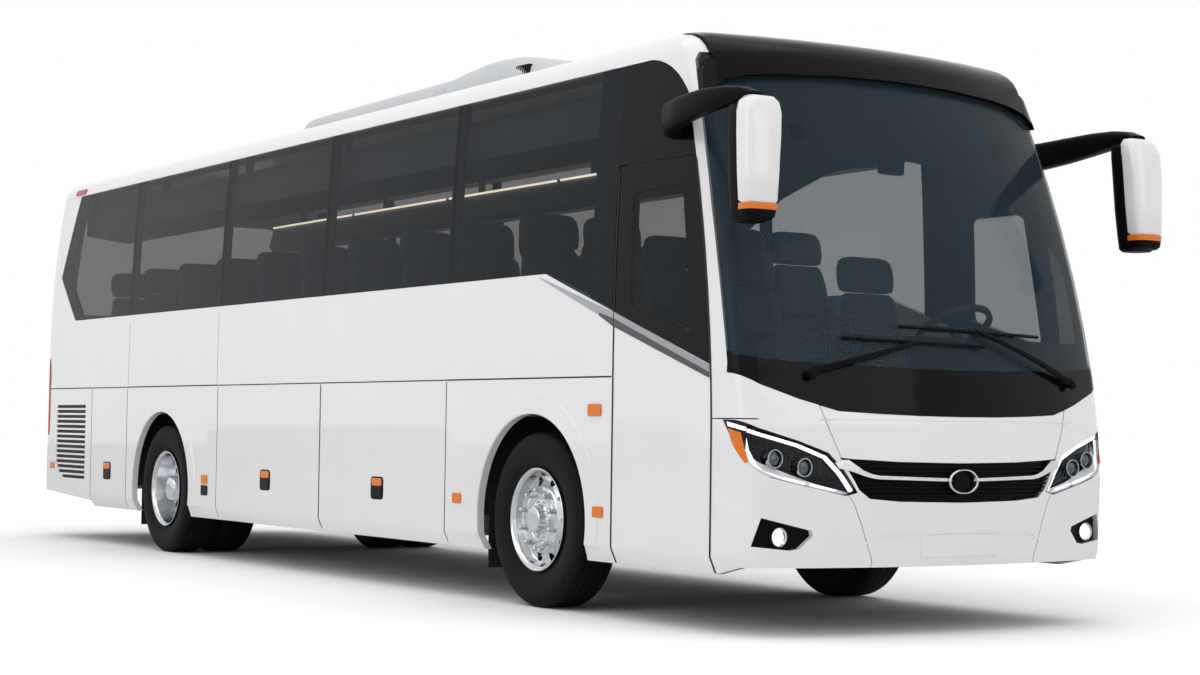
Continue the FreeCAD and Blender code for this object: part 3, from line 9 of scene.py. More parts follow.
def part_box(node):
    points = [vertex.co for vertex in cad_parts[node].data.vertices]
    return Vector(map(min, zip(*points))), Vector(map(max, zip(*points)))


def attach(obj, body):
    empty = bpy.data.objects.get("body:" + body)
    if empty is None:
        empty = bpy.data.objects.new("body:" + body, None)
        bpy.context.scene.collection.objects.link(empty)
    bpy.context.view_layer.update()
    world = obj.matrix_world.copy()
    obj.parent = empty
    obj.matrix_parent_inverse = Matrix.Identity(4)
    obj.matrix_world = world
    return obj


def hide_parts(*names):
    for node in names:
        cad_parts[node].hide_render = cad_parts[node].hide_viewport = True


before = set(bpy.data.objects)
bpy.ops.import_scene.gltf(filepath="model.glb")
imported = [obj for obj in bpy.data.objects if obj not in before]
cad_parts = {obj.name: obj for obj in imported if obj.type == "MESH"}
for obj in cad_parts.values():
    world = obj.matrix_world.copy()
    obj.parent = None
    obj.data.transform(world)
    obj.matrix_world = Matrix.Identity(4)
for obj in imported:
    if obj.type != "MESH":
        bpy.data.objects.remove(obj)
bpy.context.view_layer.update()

# Camera
# It stands low, ahead of the coach's right front corner, on the side of the entry door, and looks a little
# up. Its place and turn were worked out from the wheels, panel seams and roof line in the photograph.
camera_place = Vector((-7.713, -14.024, 1.046))
camera_yaw = math.radians(32.51)
camera_pitch = math.radians(2.34)
camera_roll = math.radians(0.8)
camera = bpy.data.objects.new("camera", bpy.data.cameras.new("camera"))
bpy.context.collection.objects.link(camera)
look = Vector((math.sin(camera_yaw) * math.cos(camera_pitch), math.cos(camera_yaw) * math.cos(camera_pitch),
               math.sin(camera_pitch)))
level_right = Vector((math.cos(camera_yaw), -math.sin(camera_yaw), 0.0))
level_up = level_right.cross(look)
camera_right = level_right * math.cos(camera_roll) + level_up * math.sin(camera_roll)
camera_up = level_up * math.cos(camera_roll) - level_right * math.sin(camera_roll)
camera_turn = Matrix((camera_right, camera_up, -look)).transposed().to_4x4()
camera.matrix_world = Matrix.Translation(camera_place) @ camera_turn
camera.data.sensor_width = 36.0
camera.data.lens = 65.6
camera.data.clip_end = 500.0
bpy.context.scene.camera = camera
bpy.context.scene.view_settings.view_transform = "Standard"

# Studio
# A pale floor and a white surround, lit softly from above and from the camera's side. The surround is seen
# by the camera, in reflections and through glass, and lights the coach much less than it shows. The floor
# also glows to the camera where it is open, and the glow fades under the coach, so part of the shadow there
# is painted shade.


def fill(tree, node, links=(), **values):
    """Sets a node's fields and inputs by name, and links or sets its (input, source or number) pairs."""
    for key, value in values.items():
        if hasattr(node, key):
            setattr(node, key, value)
        else:
            node.inputs[key.replace("_", " ")].default_value = value
    for key, source in links:
        if isinstance(source, float):
            node.inputs[key].default_value = source
        else:
            tree.links.new(source, node.inputs[key])
    return node


def add(tree, kind, links=(), **values):
    """Adds a node and fills it in."""
    return fill(tree, tree.nodes.new(kind), links, **values)


def linear(code):
    """A linear colour from an sRGB hex value."""
    parts = [int(code[k:k + 2], 16) / 255 for k in (1, 3, 5)]
    return tuple(c / 12.92 if c <= 0.04045 else ((c + 0.055) / 1.055) ** 2.4 for c in parts) + (1.0,)


surround_light = 0.62
world = bpy.data.worlds.new("white surround")
bpy.context.scene.world = world
world.use_nodes = True
tree = world.node_tree
tree.nodes.clear()
rays = add(tree, "ShaderNodeLightPath")
seen = rays.outputs["Is Camera Ray"]
for other in ("Is Glossy Ray", "Is Transmission Ray"):
    seen = add(tree, "ShaderNodeMath", [(0, seen), (1, rays.outputs[other])], operation="MAXIMUM").outputs[0]
strength = add(tree, "ShaderNodeMapRange", [("Value", seen)], To_Min=surround_light, To_Max=1.0)
sky = add(tree, "ShaderNodeBackground", [("Strength", strength.outputs[0])], Color=(1.0, 1.0, 1.0, 1.0))
add(tree, "ShaderNodeOutputWorld", [("Surface", sky.outputs[0])])

floor_size = 160.0
shade_reach = 3.5
floor_glow = 0.46
bm = bmesh.new()
bmesh.ops.create_grid(bm, x_segments=1, y_segments=1, size=floor_size / 2)
floor = bpy.data.objects.new("studio_floor", bpy.data.meshes.new("studio_floor"))
bm.to_mesh(floor.data)
bpy.context.collection.objects.link(floor)
paper = bpy.data.materials.new("matt white paper")
paper.use_nodes = True
tree = paper.node_tree
tree.nodes.clear()
rays = add(tree, "ShaderNodeLightPath")
matt = add(tree, "ShaderNodeBsdfDiffuse", Color=linear("#F4F4F4"))
# Ambient occlusion takes the floor's glow away under and beside the coach: painted shade.
open_sky = add(tree, "ShaderNodeAmbientOcclusion", samples=8, Distance=shade_reach)
openness = add(tree, "ShaderNodeMath", [(0, open_sky.outputs["AO"]), (1, 2.0)], operation="POWER")
glow_strength = add(tree, "ShaderNodeMath", [(0, openness.outputs[0]), (1, floor_glow)], operation="MULTIPLY")
glow = add(tree, "ShaderNodeEmission", [("Strength", glow_strength.outputs[0])], Color=(1.0, 1.0, 1.0, 1.0))
both_parts = add(tree, "ShaderNodeAddShader", [(0, matt.outputs[0]), (1, glow.outputs[0])])
seen_part = add(tree, "ShaderNodeMixShader", [(0, rays.outputs["Is Camera Ray"]), (1, matt.outputs[0]),
                                              (2, both_parts.outputs[0])])
add(tree, "ShaderNodeOutputMaterial", [("Surface", seen_part.outputs[0])])
floor.data.materials.append(paper)

for name, place, aim, size, power in (
        ("light_over", (-3.0, -3.0, 14.0), (0.0, 0.0, 1.0), 16.0, 540.0),
        ("light_side", (-16.0, -4.0, 8.0), (0.0, 0.0, 1.5), 10.0, 325.0),
        ("light_front", (4.0, -18.0, 7.0), (0.0, -5.0, 1.5), 8.0, 190.0)):
    lamp = bpy.data.objects.new(name, bpy.data.lights.new(name, "AREA"))
    lamp.data.energy = power
    lamp.data.size = size
    lamp.location = place
    lamp.rotation_euler = (Vector(aim) - Vector(place)).to_track_quat("-Z", "Y").to_euler()
    bpy.context.collection.objects.link(lamp)

# White body panels
# Pressed steel and fibreglass panels, welded or bonded to the body frame, sprayed with white acrylic enamel
# under a nearly even clear coat. Each panel's edge is turned in, which shows as a soft light line beside
# every seam.


def noise(tree, place, size_mm, detail=3.0):
    """A noise pattern whose lumps are about size_mm across."""
    return add(tree, "ShaderNodeTexNoise", [("Vector", place)], Scale=1000.0 / size_mm, Detail=detail)


def finish(name, colour, other, roughness, lump_mm, rise_mm=0.0, metallic=0.0, coat=0.0, spread=0.06,
           sheen=0.5):
    """A material that varies from one colour to another over lumps, with its roughness and fine relief."""
    made = bpy.data.materials.new(name)
    made.use_nodes = True
    tree = made.node_tree
    shader = tree.nodes["Principled BSDF"]
    place = add(tree, "ShaderNodeTexCoord").outputs["Object"]
    lumps = noise(tree, place, lump_mm)
    shades = add(tree, "ShaderNodeValToRGB", [("Fac", lumps.outputs["Fac"])])
    for stop, position, code in zip(shades.color_ramp.elements, (0.35, 0.65), (colour, other)):
        stop.position = position
        stop.color = linear(code)
    rough = add(tree, "ShaderNodeMapRange", [("Value", lumps.outputs["Fac"])],
                To_Min=max(0.0, roughness - spread), To_Max=roughness + spread)
    fill(tree, shader, [("Base Color", shades.outputs["Color"]), ("Roughness", rough.outputs[0])],
         Metallic=metallic, Specular_IOR_Level=sheen)
    if coat:
        fill(tree, shader, Coat_Weight=coat, Coat_Roughness=0.03)
    if rise_mm:
        relief = add(tree, "ShaderNodeBump", [("Height", lumps.outputs["Fac"])], Strength=0.5,
                     Distance=rise_mm / 1000.0)
        fill(tree, shader, [("Normal", relief.outputs["Normal"])])
    made.diffuse_color = linear(colour)
    return made


def link(name, bm, material, body="body", smooth=0.6, bevel=0.0):
    """Makes an object that rides on a body, smooth but for edges over an angle, with its edges bevelled."""
    bmesh.ops.recalc_face_normals(bm, faces=bm.faces[:])
    piece = bpy.data.objects.new(name, bpy.data.meshes.new(name))
    for face in bm.faces:
        face.smooth = True
    for edge in bm.edges:
        edge.smooth = len(edge.link_faces) == 2 and edge.calc_face_angle(0.0) < smooth
    bm.to_mesh(piece.data)
    bm.free()
    bpy.context.collection.objects.link(piece)
    piece.data.materials.append(material)
    if bevel:
        edges = piece.modifiers.new("edges", "BEVEL")
        edges.width = bevel
        edges.segments = 2
        edges.limit_method = "ANGLE"
        edges.angle_limit = smooth
        edges.use_clamp_overlap = True
        shading = piece.modifiers.new("shading", "WEIGHTED_NORMAL")
        shading.keep_sharp = True
    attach(piece, body)
    return piece


merge_reach = 0.00002
flat_angle = 0.003


def merged(node):
    """The mesh of a CAD node with doubled corners merged and flat facets joined."""
    bm = bmesh.new()
    bm.from_mesh(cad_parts[node].data)
    bmesh.ops.remove_doubles(bm, verts=bm.verts[:], dist=merge_reach)
    bmesh.ops.dissolve_limit(bm, angle_limit=flat_angle, verts=bm.verts[:], edges=bm.edges[:],
                             use_dissolve_boundaries=False)
    return bm


def dressed(node, material, body="body", bevel=0.003):
    """Stands for a CAD node: its own mesh, merged, with its edges rounded."""
    piece = link(node + "_finished", merged(node), material, body, bevel=bevel)
    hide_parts(node)


white_enamel = finish("white acrylic enamel", "#F0F1F3", "#F2F3F5", 0.3, 400.0, coat=1.0, spread=0.02)
for node in ("front_cap", "front_panel", "front_bumper", "upper_side_panels", "rear_panel", "roof"):
    dressed(node, white_enamel)
for place in ("front_right", "rear_right", "front_left", "rear_left"):
    dressed("luggage_flap_" + place, white_enamel, "flap_" + place)
dressed("entry_door", white_enamel, "door")

# Black mask, brow and quarter panels
# Fibreglass and aluminium panels in gloss black enamel that carry the dark line of the glass round the
# front, over the door and behind the driver's window.
black_enamel = finish("gloss black enamel", "#0A0B0F", "#0D0E12", 0.12, 160.0, spread=0.02, sheen=0.09)
for node in ("front_mask", "front_brow", "window_frames"):
    dressed(node, black_enamel)
dressed("entry_door_frame", black_enamel, "door")

# Windscreen and side glass
# Laminated safety glass, bonded in. The windscreen lets about half the light through and has a blue grey
# cast. The saloon panes are tinted darker, so they mirror the surround and show only the brightest things
# inside.


def pane_glass(name, tint, through):
    """Glass that lets a share of the light through its two faces, and mirrors more at a low angle."""
    through = math.sqrt(through)
    made = bpy.data.materials.new(name)
    made.use_nodes = True
    tree = made.node_tree
    shader = tree.nodes["Principled BSDF"]
    place = add(tree, "ShaderNodeTexCoord").outputs["Object"]
    tone = add(tree, "ShaderNodeValToRGB", [("Fac", noise(tree, place, 900.0, 1.0).outputs["Fac"])])
    for stop in tone.color_ramp.elements:
        stop.color = linear(tint)
    facing = add(tree, "ShaderNodeLayerWeight", Blend=0.5)
    edge = add(tree, "ShaderNodeMath", [(0, facing.outputs["Facing"]), (1, 4.0)], operation="POWER")
    cover = add(tree, "ShaderNodeMapRange", [("Value", edge.outputs[0])], To_Min=1.0 - through, To_Max=1.0)
    fill(tree, shader, [("Base Color", tone.outputs["Color"]), ("Alpha", cover.outputs[0])],
         IOR=1.5, Specular_IOR_Level=0.16, Roughness=0.02)
    made.diffuse_color = linear(tint)[:3] + (1.0 - through,)
    return made


tinted_glass = pane_glass("dark tinted safety glass", "#141E26", 0.385)
clear_glass = pane_glass("laminated windscreen glass", "#384852", 0.46)
dressed("windscreen", clear_glass, bevel=0.0)
for node, body in (("side_windows", "body"), ("entry_door_glass", "door"), ("rear_window", "body")):
    dressed(node, tinted_glass, body, bevel=0.0)

# Stripe under the glass band
# Two strips of metallic film, silver over graphite, stuck to the enamel. They follow the slanted lower edge
# of the glass band from the front edge of the entry door back to a point under the second pane.
stripe_top = [(-4.929, 1.369), (-4.026, 1.673), (-3.872, 1.712), (-3.217, 1.9)]
stripe_low = [(-4.929, 1.303), (-4.01, 1.597), (-3.875, 1.657)]
stripe_part = 0.036
bend_step = 0.12
half_width = 1.25
waist_z = 1.323
cantrail_z = 3.031
side_lean = 0.07
film_rise = 0.004
skirt_z = 0.305
skirt_turn_z = 0.395
skirt_tuck = 0.04


def side_x(z):
    """Half width of the body's outer side at a level."""
    if z < skirt_turn_z:
        return half_width - skirt_tuck * (skirt_turn_z - z) / (skirt_turn_z - skirt_z)
    return half_width - side_lean * (max(z - waist_z, 0.0) / (cantrail_z - waist_z)) ** 2


def cut_across(bm, axis, low, high, cuts, more=()):
    """Cuts a sheet across an axis into even lengths from low to high, and at more places between them."""
    normal = Vector([float(axis == k) for k in range(3)])
    places = [low + (high - low) * k / cuts for k in range(1, cuts)]
    for place in places + [m for m in more if low < m < high]:
        bmesh.ops.bisect_plane(bm, geom=bm.verts[:] + bm.edges[:] + bm.faces[:], plane_co=normal * place,
                               plane_no=normal)


def doubled(bm):
    """Doubles the faces of a sheet, with walls between them, and gives the new corners."""
    grown = bmesh.ops.extrude_face_region(bm, geom=bm.faces[:])
    return [v for v in grown["geom"] if isinstance(v, bmesh.types.BMVert)]


def side_sheet(points, rise, thick, side=-1):
    """A thin sheet on the body side with a side view outline, bent to the side's curve."""
    bm = bmesh.new()
    bm.faces.new([bm.verts.new((0.0, y, z)) for y, z in points])
    low = min(z for y, z in points)
    high = max(z for y, z in points)
    cut_across(bm, 2, low, high, int((high - low) / bend_step), [skirt_turn_z])
    for vert in bm.verts:
        vert.co.x = side * (side_x(vert.co.z) + rise)
    bmesh.ops.translate(bm, verts=doubled(bm), vec=(-side * thick, 0.0, 0.0))
    return bm


def joined(parts):
    """One bmesh from several."""
    whole = bmesh.new()
    for part in parts:
        mesh = bpy.data.meshes.new("part")
        part.to_mesh(mesh)
        part.free()
        whole.from_mesh(mesh)
        bpy.data.meshes.remove(mesh)
    return whole


# Fine metal flakes under a clear face give both films a soft glint.
silver_film = finish("silver metallic film", "#9A9DA1", "#A6A9AD", 0.3, 400.0, metallic=0.8, coat=0.6,
                     spread=0.02)
grey_film = finish("graphite metallic film", "#3A3D41", "#404347", 0.32, 400.0, metallic=0.7, coat=0.6,
                   spread=0.02)
door_line_y = -4.02


def between(low, high, y0, y1):
    """The strip between two lines in side view, cut to two stations."""
    def at(line, y):
        for (ya, za), (yb, zb) in zip(line, line[1:]):
            if ya <= y <= yb:
                return za + (zb - za) * (y - ya) / (yb - ya)
        return line[0][1] if y < line[0][0] else line[-1][1]
    inner = sorted({y for y, z in low + high if y0 < y < y1})
    stations = [y0] + inner + [y1]
    return [(y, at(low, y)) for y in stations] + [(y, at(high, y)) for y in reversed(stations)]


stripe_middle = [(y, z - stripe_part) for y, z in stripe_top]
for name, body, y0, y1 in (("door", "door", -4.925, door_line_y - 0.004),
                           ("wall", "body", door_line_y + 0.004, -3.872)):
    for film, material, low, high in (("silver_", silver_film, stripe_middle, stripe_top),
                                      ("graphite_", grey_film, stripe_low, stripe_middle)):
        sheet = side_sheet(between(low, high, y0, y1), film_rise, film_rise)
        link("stripe_" + film + name, sheet, material, body)
link("stripe_silver_point", side_sheet([(-3.872, 1.66), (-3.217, 1.898), (-3.217, 1.902), (-3.872, 1.712)],
                                       film_rise, film_rise), silver_film)

# Tyres
# Steel belted truck tyres, moulded from black rubber: five smooth ribs with grooves between them, a square
# shoulder and a sidewall that bulges a little below it. The twin tyres at the rear are the same.
wheel_centre_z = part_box("tyre_front_right")[1].z / 2
front_axle_y = sum(corner.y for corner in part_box("tyre_front_right")) / 2
rear_axle_y = sum(corner.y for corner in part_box("tyres_rear_right")) / 2
tyre_x = 1.075
twin_x = 0.735
tread_radius = 0.5056
rib_places = (0.1, 0.076, 0.069, 0.03, 0.023, -0.023, -0.03, -0.069, -0.076, -0.1)
groove_depth = 0.011
groove_lean = 0.002
flank = (
    (0.1, 0.29), (0.107, 0.302), (0.112, 0.309), (0.116, 0.322), (0.129, 0.352), (0.1365, 0.388),
    (0.1395, 0.424), (0.1375, 0.452), (0.1345, 0.4625), (0.1325, 0.464), (0.1275, 0.484), (0.1225, 0.4925),
    (0.11, 0.5025))
sides = (("right", -1.0), ("left", 1.0))


def turned(points, middle, axis, steps):
    """A body turned about a line through a place, from the points of its outline."""
    bm = bmesh.new()
    verts = [bm.verts.new(point) for point in points]
    edges = [bm.edges.new(pair) for pair in zip(verts, verts[1:])]
    bmesh.ops.spin(bm, geom=verts + edges, cent=middle, axis=axis, angle=2 * math.pi, steps=steps,
                   use_merge=True)
    bmesh.ops.remove_doubles(bm, verts=bm.verts[:], dist=0.00001)
    return bm


def turned_x(profile, x, y, steps=96, way=1.0):
    """A body turned about a wheel's own line along X, from pairs of sideways distance and radius."""
    z = wheel_centre_z
    return turned([(x + way * d, y, z + r) for d, r in profile], (x, y, z), (1.0, 0.0, 0.0), steps)


tread = []
for k, (a, b) in enumerate(zip(rib_places, rib_places[1:])):
    inset, drop = (groove_lean, groove_depth) if k % 2 else (0.0, 0.0)
    tread += [(a - inset, tread_radius - drop), (b + inset, tread_radius - drop)]
tyre_profile = list(flank) + tread + [(-d, r) for d, r in reversed(flank)]
# Moulded rubber, matt and a little uneven, so it stays dull where light grazes it.
tyre_rubber = finish("black tyre rubber", "#101112", "#161718", 0.62, 22.0, rise_mm=0.25, spread=0.08,
                     sheen=0.1)
for end, node, places, y in (("front_", "tyre_front_", (tyre_x,), front_axle_y),
                             ("rear_", "tyres_rear_", (tyre_x, twin_x), rear_axle_y)):
    for side, way in sides:
        rings = [turned_x(tyre_profile, way * x, y) for x in places]
        piece = link(node + side + "_tread", joined(rings), tyre_rubber, "road_wheel_" + end + side,
                     smooth=0.5)
        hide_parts(node + side)

# Disc wheels
# Forged aluminium wheels, turned and polished, with ten round hand holes. The front one bulges out to its
# hub and the rear ones are the same wheel turned round, so the outer one is a deep dish.


def carved(bm, cutter):
    """The first bmesh with the second cut out of it."""
    pieces = []
    for part in (bm, cutter):
        bmesh.ops.recalc_face_normals(part, faces=part.faces[:])
        mesh = bpy.data.meshes.new("blank")
        part.to_mesh(mesh)
        part.free()
        pieces.append(bpy.data.objects.new("blank", mesh))
        bpy.context.collection.objects.link(pieces[-1])
    cut = pieces[0].modifiers.new("cut", "BOOLEAN")
    cut.operation = "DIFFERENCE"
    cut.solver = "EXACT"
    cut.object = pieces[1]
    shaped = bpy.data.meshes.new_from_object(pieces[0].evaluated_get(bpy.context.evaluated_depsgraph_get()))
    result = bmesh.new()
    result.from_mesh(shaped)
    bpy.data.meshes.remove(shaped)
    for piece in pieces:
        mesh = piece.data
        bpy.data.objects.remove(piece)
        bpy.data.meshes.remove(mesh)
    return result


def along_x(radius, low, high, y, z, segments=24, top=None):
    """A round bar along X between two places."""
    bm = bmesh.new()
    bmesh.ops.create_cone(bm, cap_ends=True, segments=segments, radius1=radius,
                          radius2=radius if top is None else top, depth=abs(high - low))
    turn = Matrix.Rotation(math.copysign(math.pi / 2, high - low), 4, "Y")
    bmesh.ops.transform(bm, verts=bm.verts[:], matrix=Matrix.Translation(((low + high) / 2, y, z)) @ turn)
    return bm


hole_circle = 0.228
hole_radius = 0.027
hole_count = 10
stud_circle = 0.1675
stud_count = 10
cap_circle = 0.104
rim_lip = ((0.1, 0.287), (0.11, 0.2975), (0.1265, 0.2975), (0.1285, 0.2935), (0.124, 0.286), (0.112, 0.2745),
           (0.098, 0.27))
front_face = rim_lip + (
    (0.07, 0.264), (0.056, 0.252), (0.0545, 0.23), (0.066, 0.208), (0.084, 0.196), (0.096, 0.19),
    (0.0985, 0.185), (0.0985, 0.148), (0.08, 0.148), (0.08, 0.19), (0.052, 0.206), (0.04, 0.23),
    (0.04, 0.258), (0.06, 0.2745), (-0.1, 0.2745), (-0.1, 0.287))
rear_face = rim_lip + (
    (-0.02, 0.264), (-0.044, 0.256), (-0.054, 0.23), (-0.06, 0.208), (-0.076, 0.196), (-0.085, 0.185),
    (-0.085, 0.148), (-0.1, 0.148), (-0.1, 0.19), (-0.078, 0.206), (-0.07, 0.23), (-0.06, 0.264),
    (-0.04, 0.2745), (-0.44, 0.2745), (-0.44, 0.287))
front_hub = (
    (0.0985, 0.148), (0.101, 0.144), (0.101, 0.125), (0.096, 0.12), (0.098, 0.09), (0.108, 0.082),
    (0.12, 0.079), (0.15, 0.074), (0.154, 0.068), (0.156, 0.04), (0.156, 0.0))
rear_hub = (
    (-0.085, 0.148), (-0.08, 0.142), (-0.08, 0.116), (-0.07, 0.108), (0.07, 0.096), (0.09, 0.086),
    (0.098, 0.07), (0.099, 0.04), (0.099, 0.0))
# Turned and polished aluminium mirrors with a slight blur, and chromed steel nearly sharp.
polished_aluminium = finish("polished aluminium", "#C9CCD0", "#D6D8DB", 0.14, 60.0, metallic=1.0, spread=0.05)
chromed_steel = finish("chromed steel", "#C4C7CB", "#CDD0D3", 0.08, 40.0, metallic=1.0, spread=0.03)


def round_middle(y, radius, count, start=0.0):
    """Places evenly round a wheel's middle, as pairs of station and height."""
    angles = [2 * math.pi * (k + start) / count for k in range(count)]
    return [(y + radius * math.cos(a), wheel_centre_z + radius * math.sin(a)) for a in angles]


def road_wheel(name, x, y, face, hub, stud_low, stud_high):
    """One polished wheel with its hand holes, hub, studs and nuts."""
    way = math.copysign(1.0, x)
    body = "road_" + name
    holes = [along_x(hole_radius, x - way * 0.14, x + way * 0.125, *place)
             for place in round_middle(y, hole_circle, hole_count)]
    disc = carved(turned_x(face + face[:1], x, y, 80, way), joined(holes))
    steps = ((0.0215, stud_low, stud_low + 0.005, 20, None),
             (0.0175, stud_low + 0.005, stud_low + 0.024, 6, None),
             (0.015, stud_low + 0.024, stud_high - 0.008, 16, 0.0135),
             (0.0135, stud_high - 0.008, stud_high, 16, 0.007))
    nuts = [along_x(radius, x + way * low, x + way * high, *place, segments, top)
            for place in round_middle(y, stud_circle, stud_count, 0.5)
            for radius, low, high, segments, top in steps]
    cap_x = hub[3][0]
    nuts += [along_x(0.007, x + way * (cap_x - 0.004), x + way * (cap_x + 0.008), *place, 6)
             for place in round_middle(y, cap_circle, stud_count)]
    piece = link(name + "_disc", disc, polished_aluminium, body, smooth=0.7)
    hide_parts(name)
    link(name + "_hub", turned_x(hub, x, y, 64, way), polished_aluminium, body, smooth=0.5)
    link(name + "_nuts", joined(nuts), chromed_steel, body)


for side, way in sides:
    road_wheel("wheel_front_" + side, way * tyre_x, front_axle_y, front_face, front_hub, 0.0985, 0.15)
    road_wheel("wheel_rear_" + side, way * tyre_x, rear_axle_y, rear_face, rear_hub, -0.085, -0.034)

# Headlamps
# A black moulded tray behind a clear polycarbonate cover that is flush with the body. In it stand two
# projector lenses in chromed rings, a bright strip along the top and down the inner tip, a second bent strip
# and an amber corner.
nose_y = -5.445
front_turn = 3.8
front_levels = ((0.305, 0.027), (0.395, 0.016), (0.788, 0.0), (1.323, 0.053), (1.7, 0.136), (2.1, 0.247),
                (2.5, 0.383), (2.8, 0.503), (3.031, 0.609))
lamp_edge = ((1.24, 1.095), (1.167, 1.052), (0.965, 0.99), (0.806, 0.931), (0.725, 0.846), (0.649, 0.73),
             (0.716, 0.715), (0.967, 0.77), (1.194, 0.823), (1.246, 0.931))
tray_depth = 0.062
cover_depth = 0.004
lamp_flank = ((-5.048, 1.091), (-5.158, 1.087), (-5.205, 1.072), (-5.205, 0.893), (-5.166, 0.94),
              (-5.12, 0.996))
strip_flank = ((-5.082, 1.081), (-5.15, 1.07), (-5.205, 1.055), (-5.205, 1.036), (-5.15, 1.05), (-5.09, 1.06))
amber_flank = ((-5.09, 1.05), (-5.181, 1.029), (-5.194, 0.982), (-5.225, 0.883), (-5.209, 0.876),
               (-5.158, 0.936), (-5.118, 0.984))
corner_turn = 0.14
corner_step = 0.012
top_strip = ((1.224, 1.047), (1.16, 1.022), (0.96, 0.966), (0.816, 0.908), (0.744, 0.832), (0.676, 0.738))
bent_strip = ((1.216, 1.012), (1.209, 0.941), (1.18, 0.865), (1.15, 0.834), (1.06, 0.806), (0.93, 0.776))
thin_strip = ((0.895, 0.772), (0.76, 0.742))
lens_places = ((1.077, 0.898), (0.925, 0.856))


def front_skin(x, z):
    """Station of the outer face of the front at a place in front view."""
    for (za, ya), (zb, yb) in zip(front_levels, front_levels[1:]):
        if z <= zb:
            break
    behind = ya + (yb - ya) * (z - za) / (zb - za)
    wide = side_x(z)
    corner_x = wide - corner_turn
    out = min(abs(x), wide - 0.0005)
    meet = corner_x * front_turn / (front_turn - corner_turn)
    if out <= meet:
        return nose_y + behind + front_turn - math.sqrt(front_turn ** 2 - out ** 2)
    base = nose_y + behind + front_turn - math.sqrt((front_turn - corner_turn) ** 2 - corner_x ** 2)
    return base - math.sqrt(max(0.0, corner_turn ** 2 - (out - corner_x) ** 2))


def corner_place(y, z, out):
    """Half width and station of a place on the front corner, from its station on the skin and stand-off."""
    corner_x = side_x(z) - corner_turn
    base = front_skin(side_x(z), z)
    turn = min(1.0, max(0.0, (base - y) / corner_turn))
    across = math.sqrt(1.0 - turn ** 2)
    return corner_x + (corner_turn + out) * across, y - out * turn


def corner_sheet(points, out, thick, side):
    """A sheet round the front corner with a side view outline, bent to the corner."""
    bm = bmesh.new()
    bm.faces.new([bm.verts.new((0.0, y, z)) for y, z in points])
    low = min(y for y, z in points)
    high = max(y for y, z in points)
    cut_across(bm, 1, low, high, math.ceil((high - low) / corner_step))
    inner = set(doubled(bm))
    for vert in bm.verts:
        across, station = corner_place(vert.co.y, vert.co.z, out - thick if vert in inner else out)
        vert.co.x, vert.co.y = side * across, station
    return bm


def front_sheet(points, out, thick, side=1.0, step=0.045):
    """A sheet on the front with a front view outline, bent to its curve; out is how far it stands off."""
    bm = bmesh.new()
    bm.faces.new([bm.verts.new((side * x, 0.0, z)) for x, z in points])
    for axis, values in ((0, [side * x for x, z in points]), (2, [z for x, z in points])):
        low, high = min(values), max(values)
        cut_across(bm, axis, low, high, math.ceil((high - low) / step))
    for vert in bm.verts:
        vert.co.y = front_skin(vert.co.x, vert.co.z) - out
    bmesh.ops.translate(bm, verts=doubled(bm), vec=(0.0, thick, 0.0))
    return bm


def ribbon(points, width):
    """The outline of a strip of even width along a line in front view."""
    left, right = [], []
    for k, (x, z) in enumerate(points):
        before = Vector(points[max(k - 1, 0)])
        after = Vector(points[min(k + 1, len(points) - 1)])
        way = (after - before).normalized()
        left.append((x - way.y * width / 2, z + way.x * width / 2))
        right.append((x + way.y * width / 2, z - way.x * width / 2))
    return left + right[::-1]


def turned_y(profile, x, y, z, steps=40):
    """A body turned about a line along Y, from pairs of distance behind y and radius."""
    return turned([(x + r, y + d, z) for d, r in profile], (x, y, z), (0.0, 1.0, 0.0), steps)


def glowing(name, colour, strength, rough=0.25):
    """A glowing moulded lens, a shade uneven: lamp light on a lamp, painted light on any other part."""
    made = finish(name, colour, colour, rough, 12.0, spread=0.04)
    fill(made.node_tree, made.node_tree.nodes["Principled BSDF"], Emission_Color=linear(colour),
         Emission_Strength=strength)
    return made


# The moulded plastics have a dull, faintly uneven face, and the lit ones glow from within. The amber acrylic
# glows faintly wherever it is used, on the latch reflectors too, which are no lamps, so there its glow is
# painted light.
black_plastic = finish("black moulded polypropylene", "#090A0C", "#0E0F11", 0.42, 18.0, rise_mm=0.15,
                       sheen=0.06)
lamp_black = finish("black lamp tray", "#0B0D10", "#12151A", 0.22, 25.0, sheen=0.2)
strip_white = glowing("lit white light guide", "#F4FAFF", 1.2)
amber_glow_acrylic = glowing("amber acrylic", "#D66E0A", 0.16)
lens_glass = finish("projector lens glass", "#39424C", "#5A6672", 0.06, 20.0, coat=1.0, spread=0.02)
lamp_cover = pane_glass("clear polycarbonate", "#20262B", 0.93)
lens_ring = ((0.0, 0.0415), (0.0, 0.0475), (0.044, 0.0475), (0.044, 0.0415), (0.0, 0.0415))
lens_dome = ((0.004, 0.0), (0.005, 0.012), (0.009, 0.024), (0.016, 0.034), (0.026, 0.041), (0.04, 0.041),
             (0.04, 0.0))
lens_sunk = 0.016
trays, covers, strips, ambers, rings, lenses = [], [], [], [], [], []
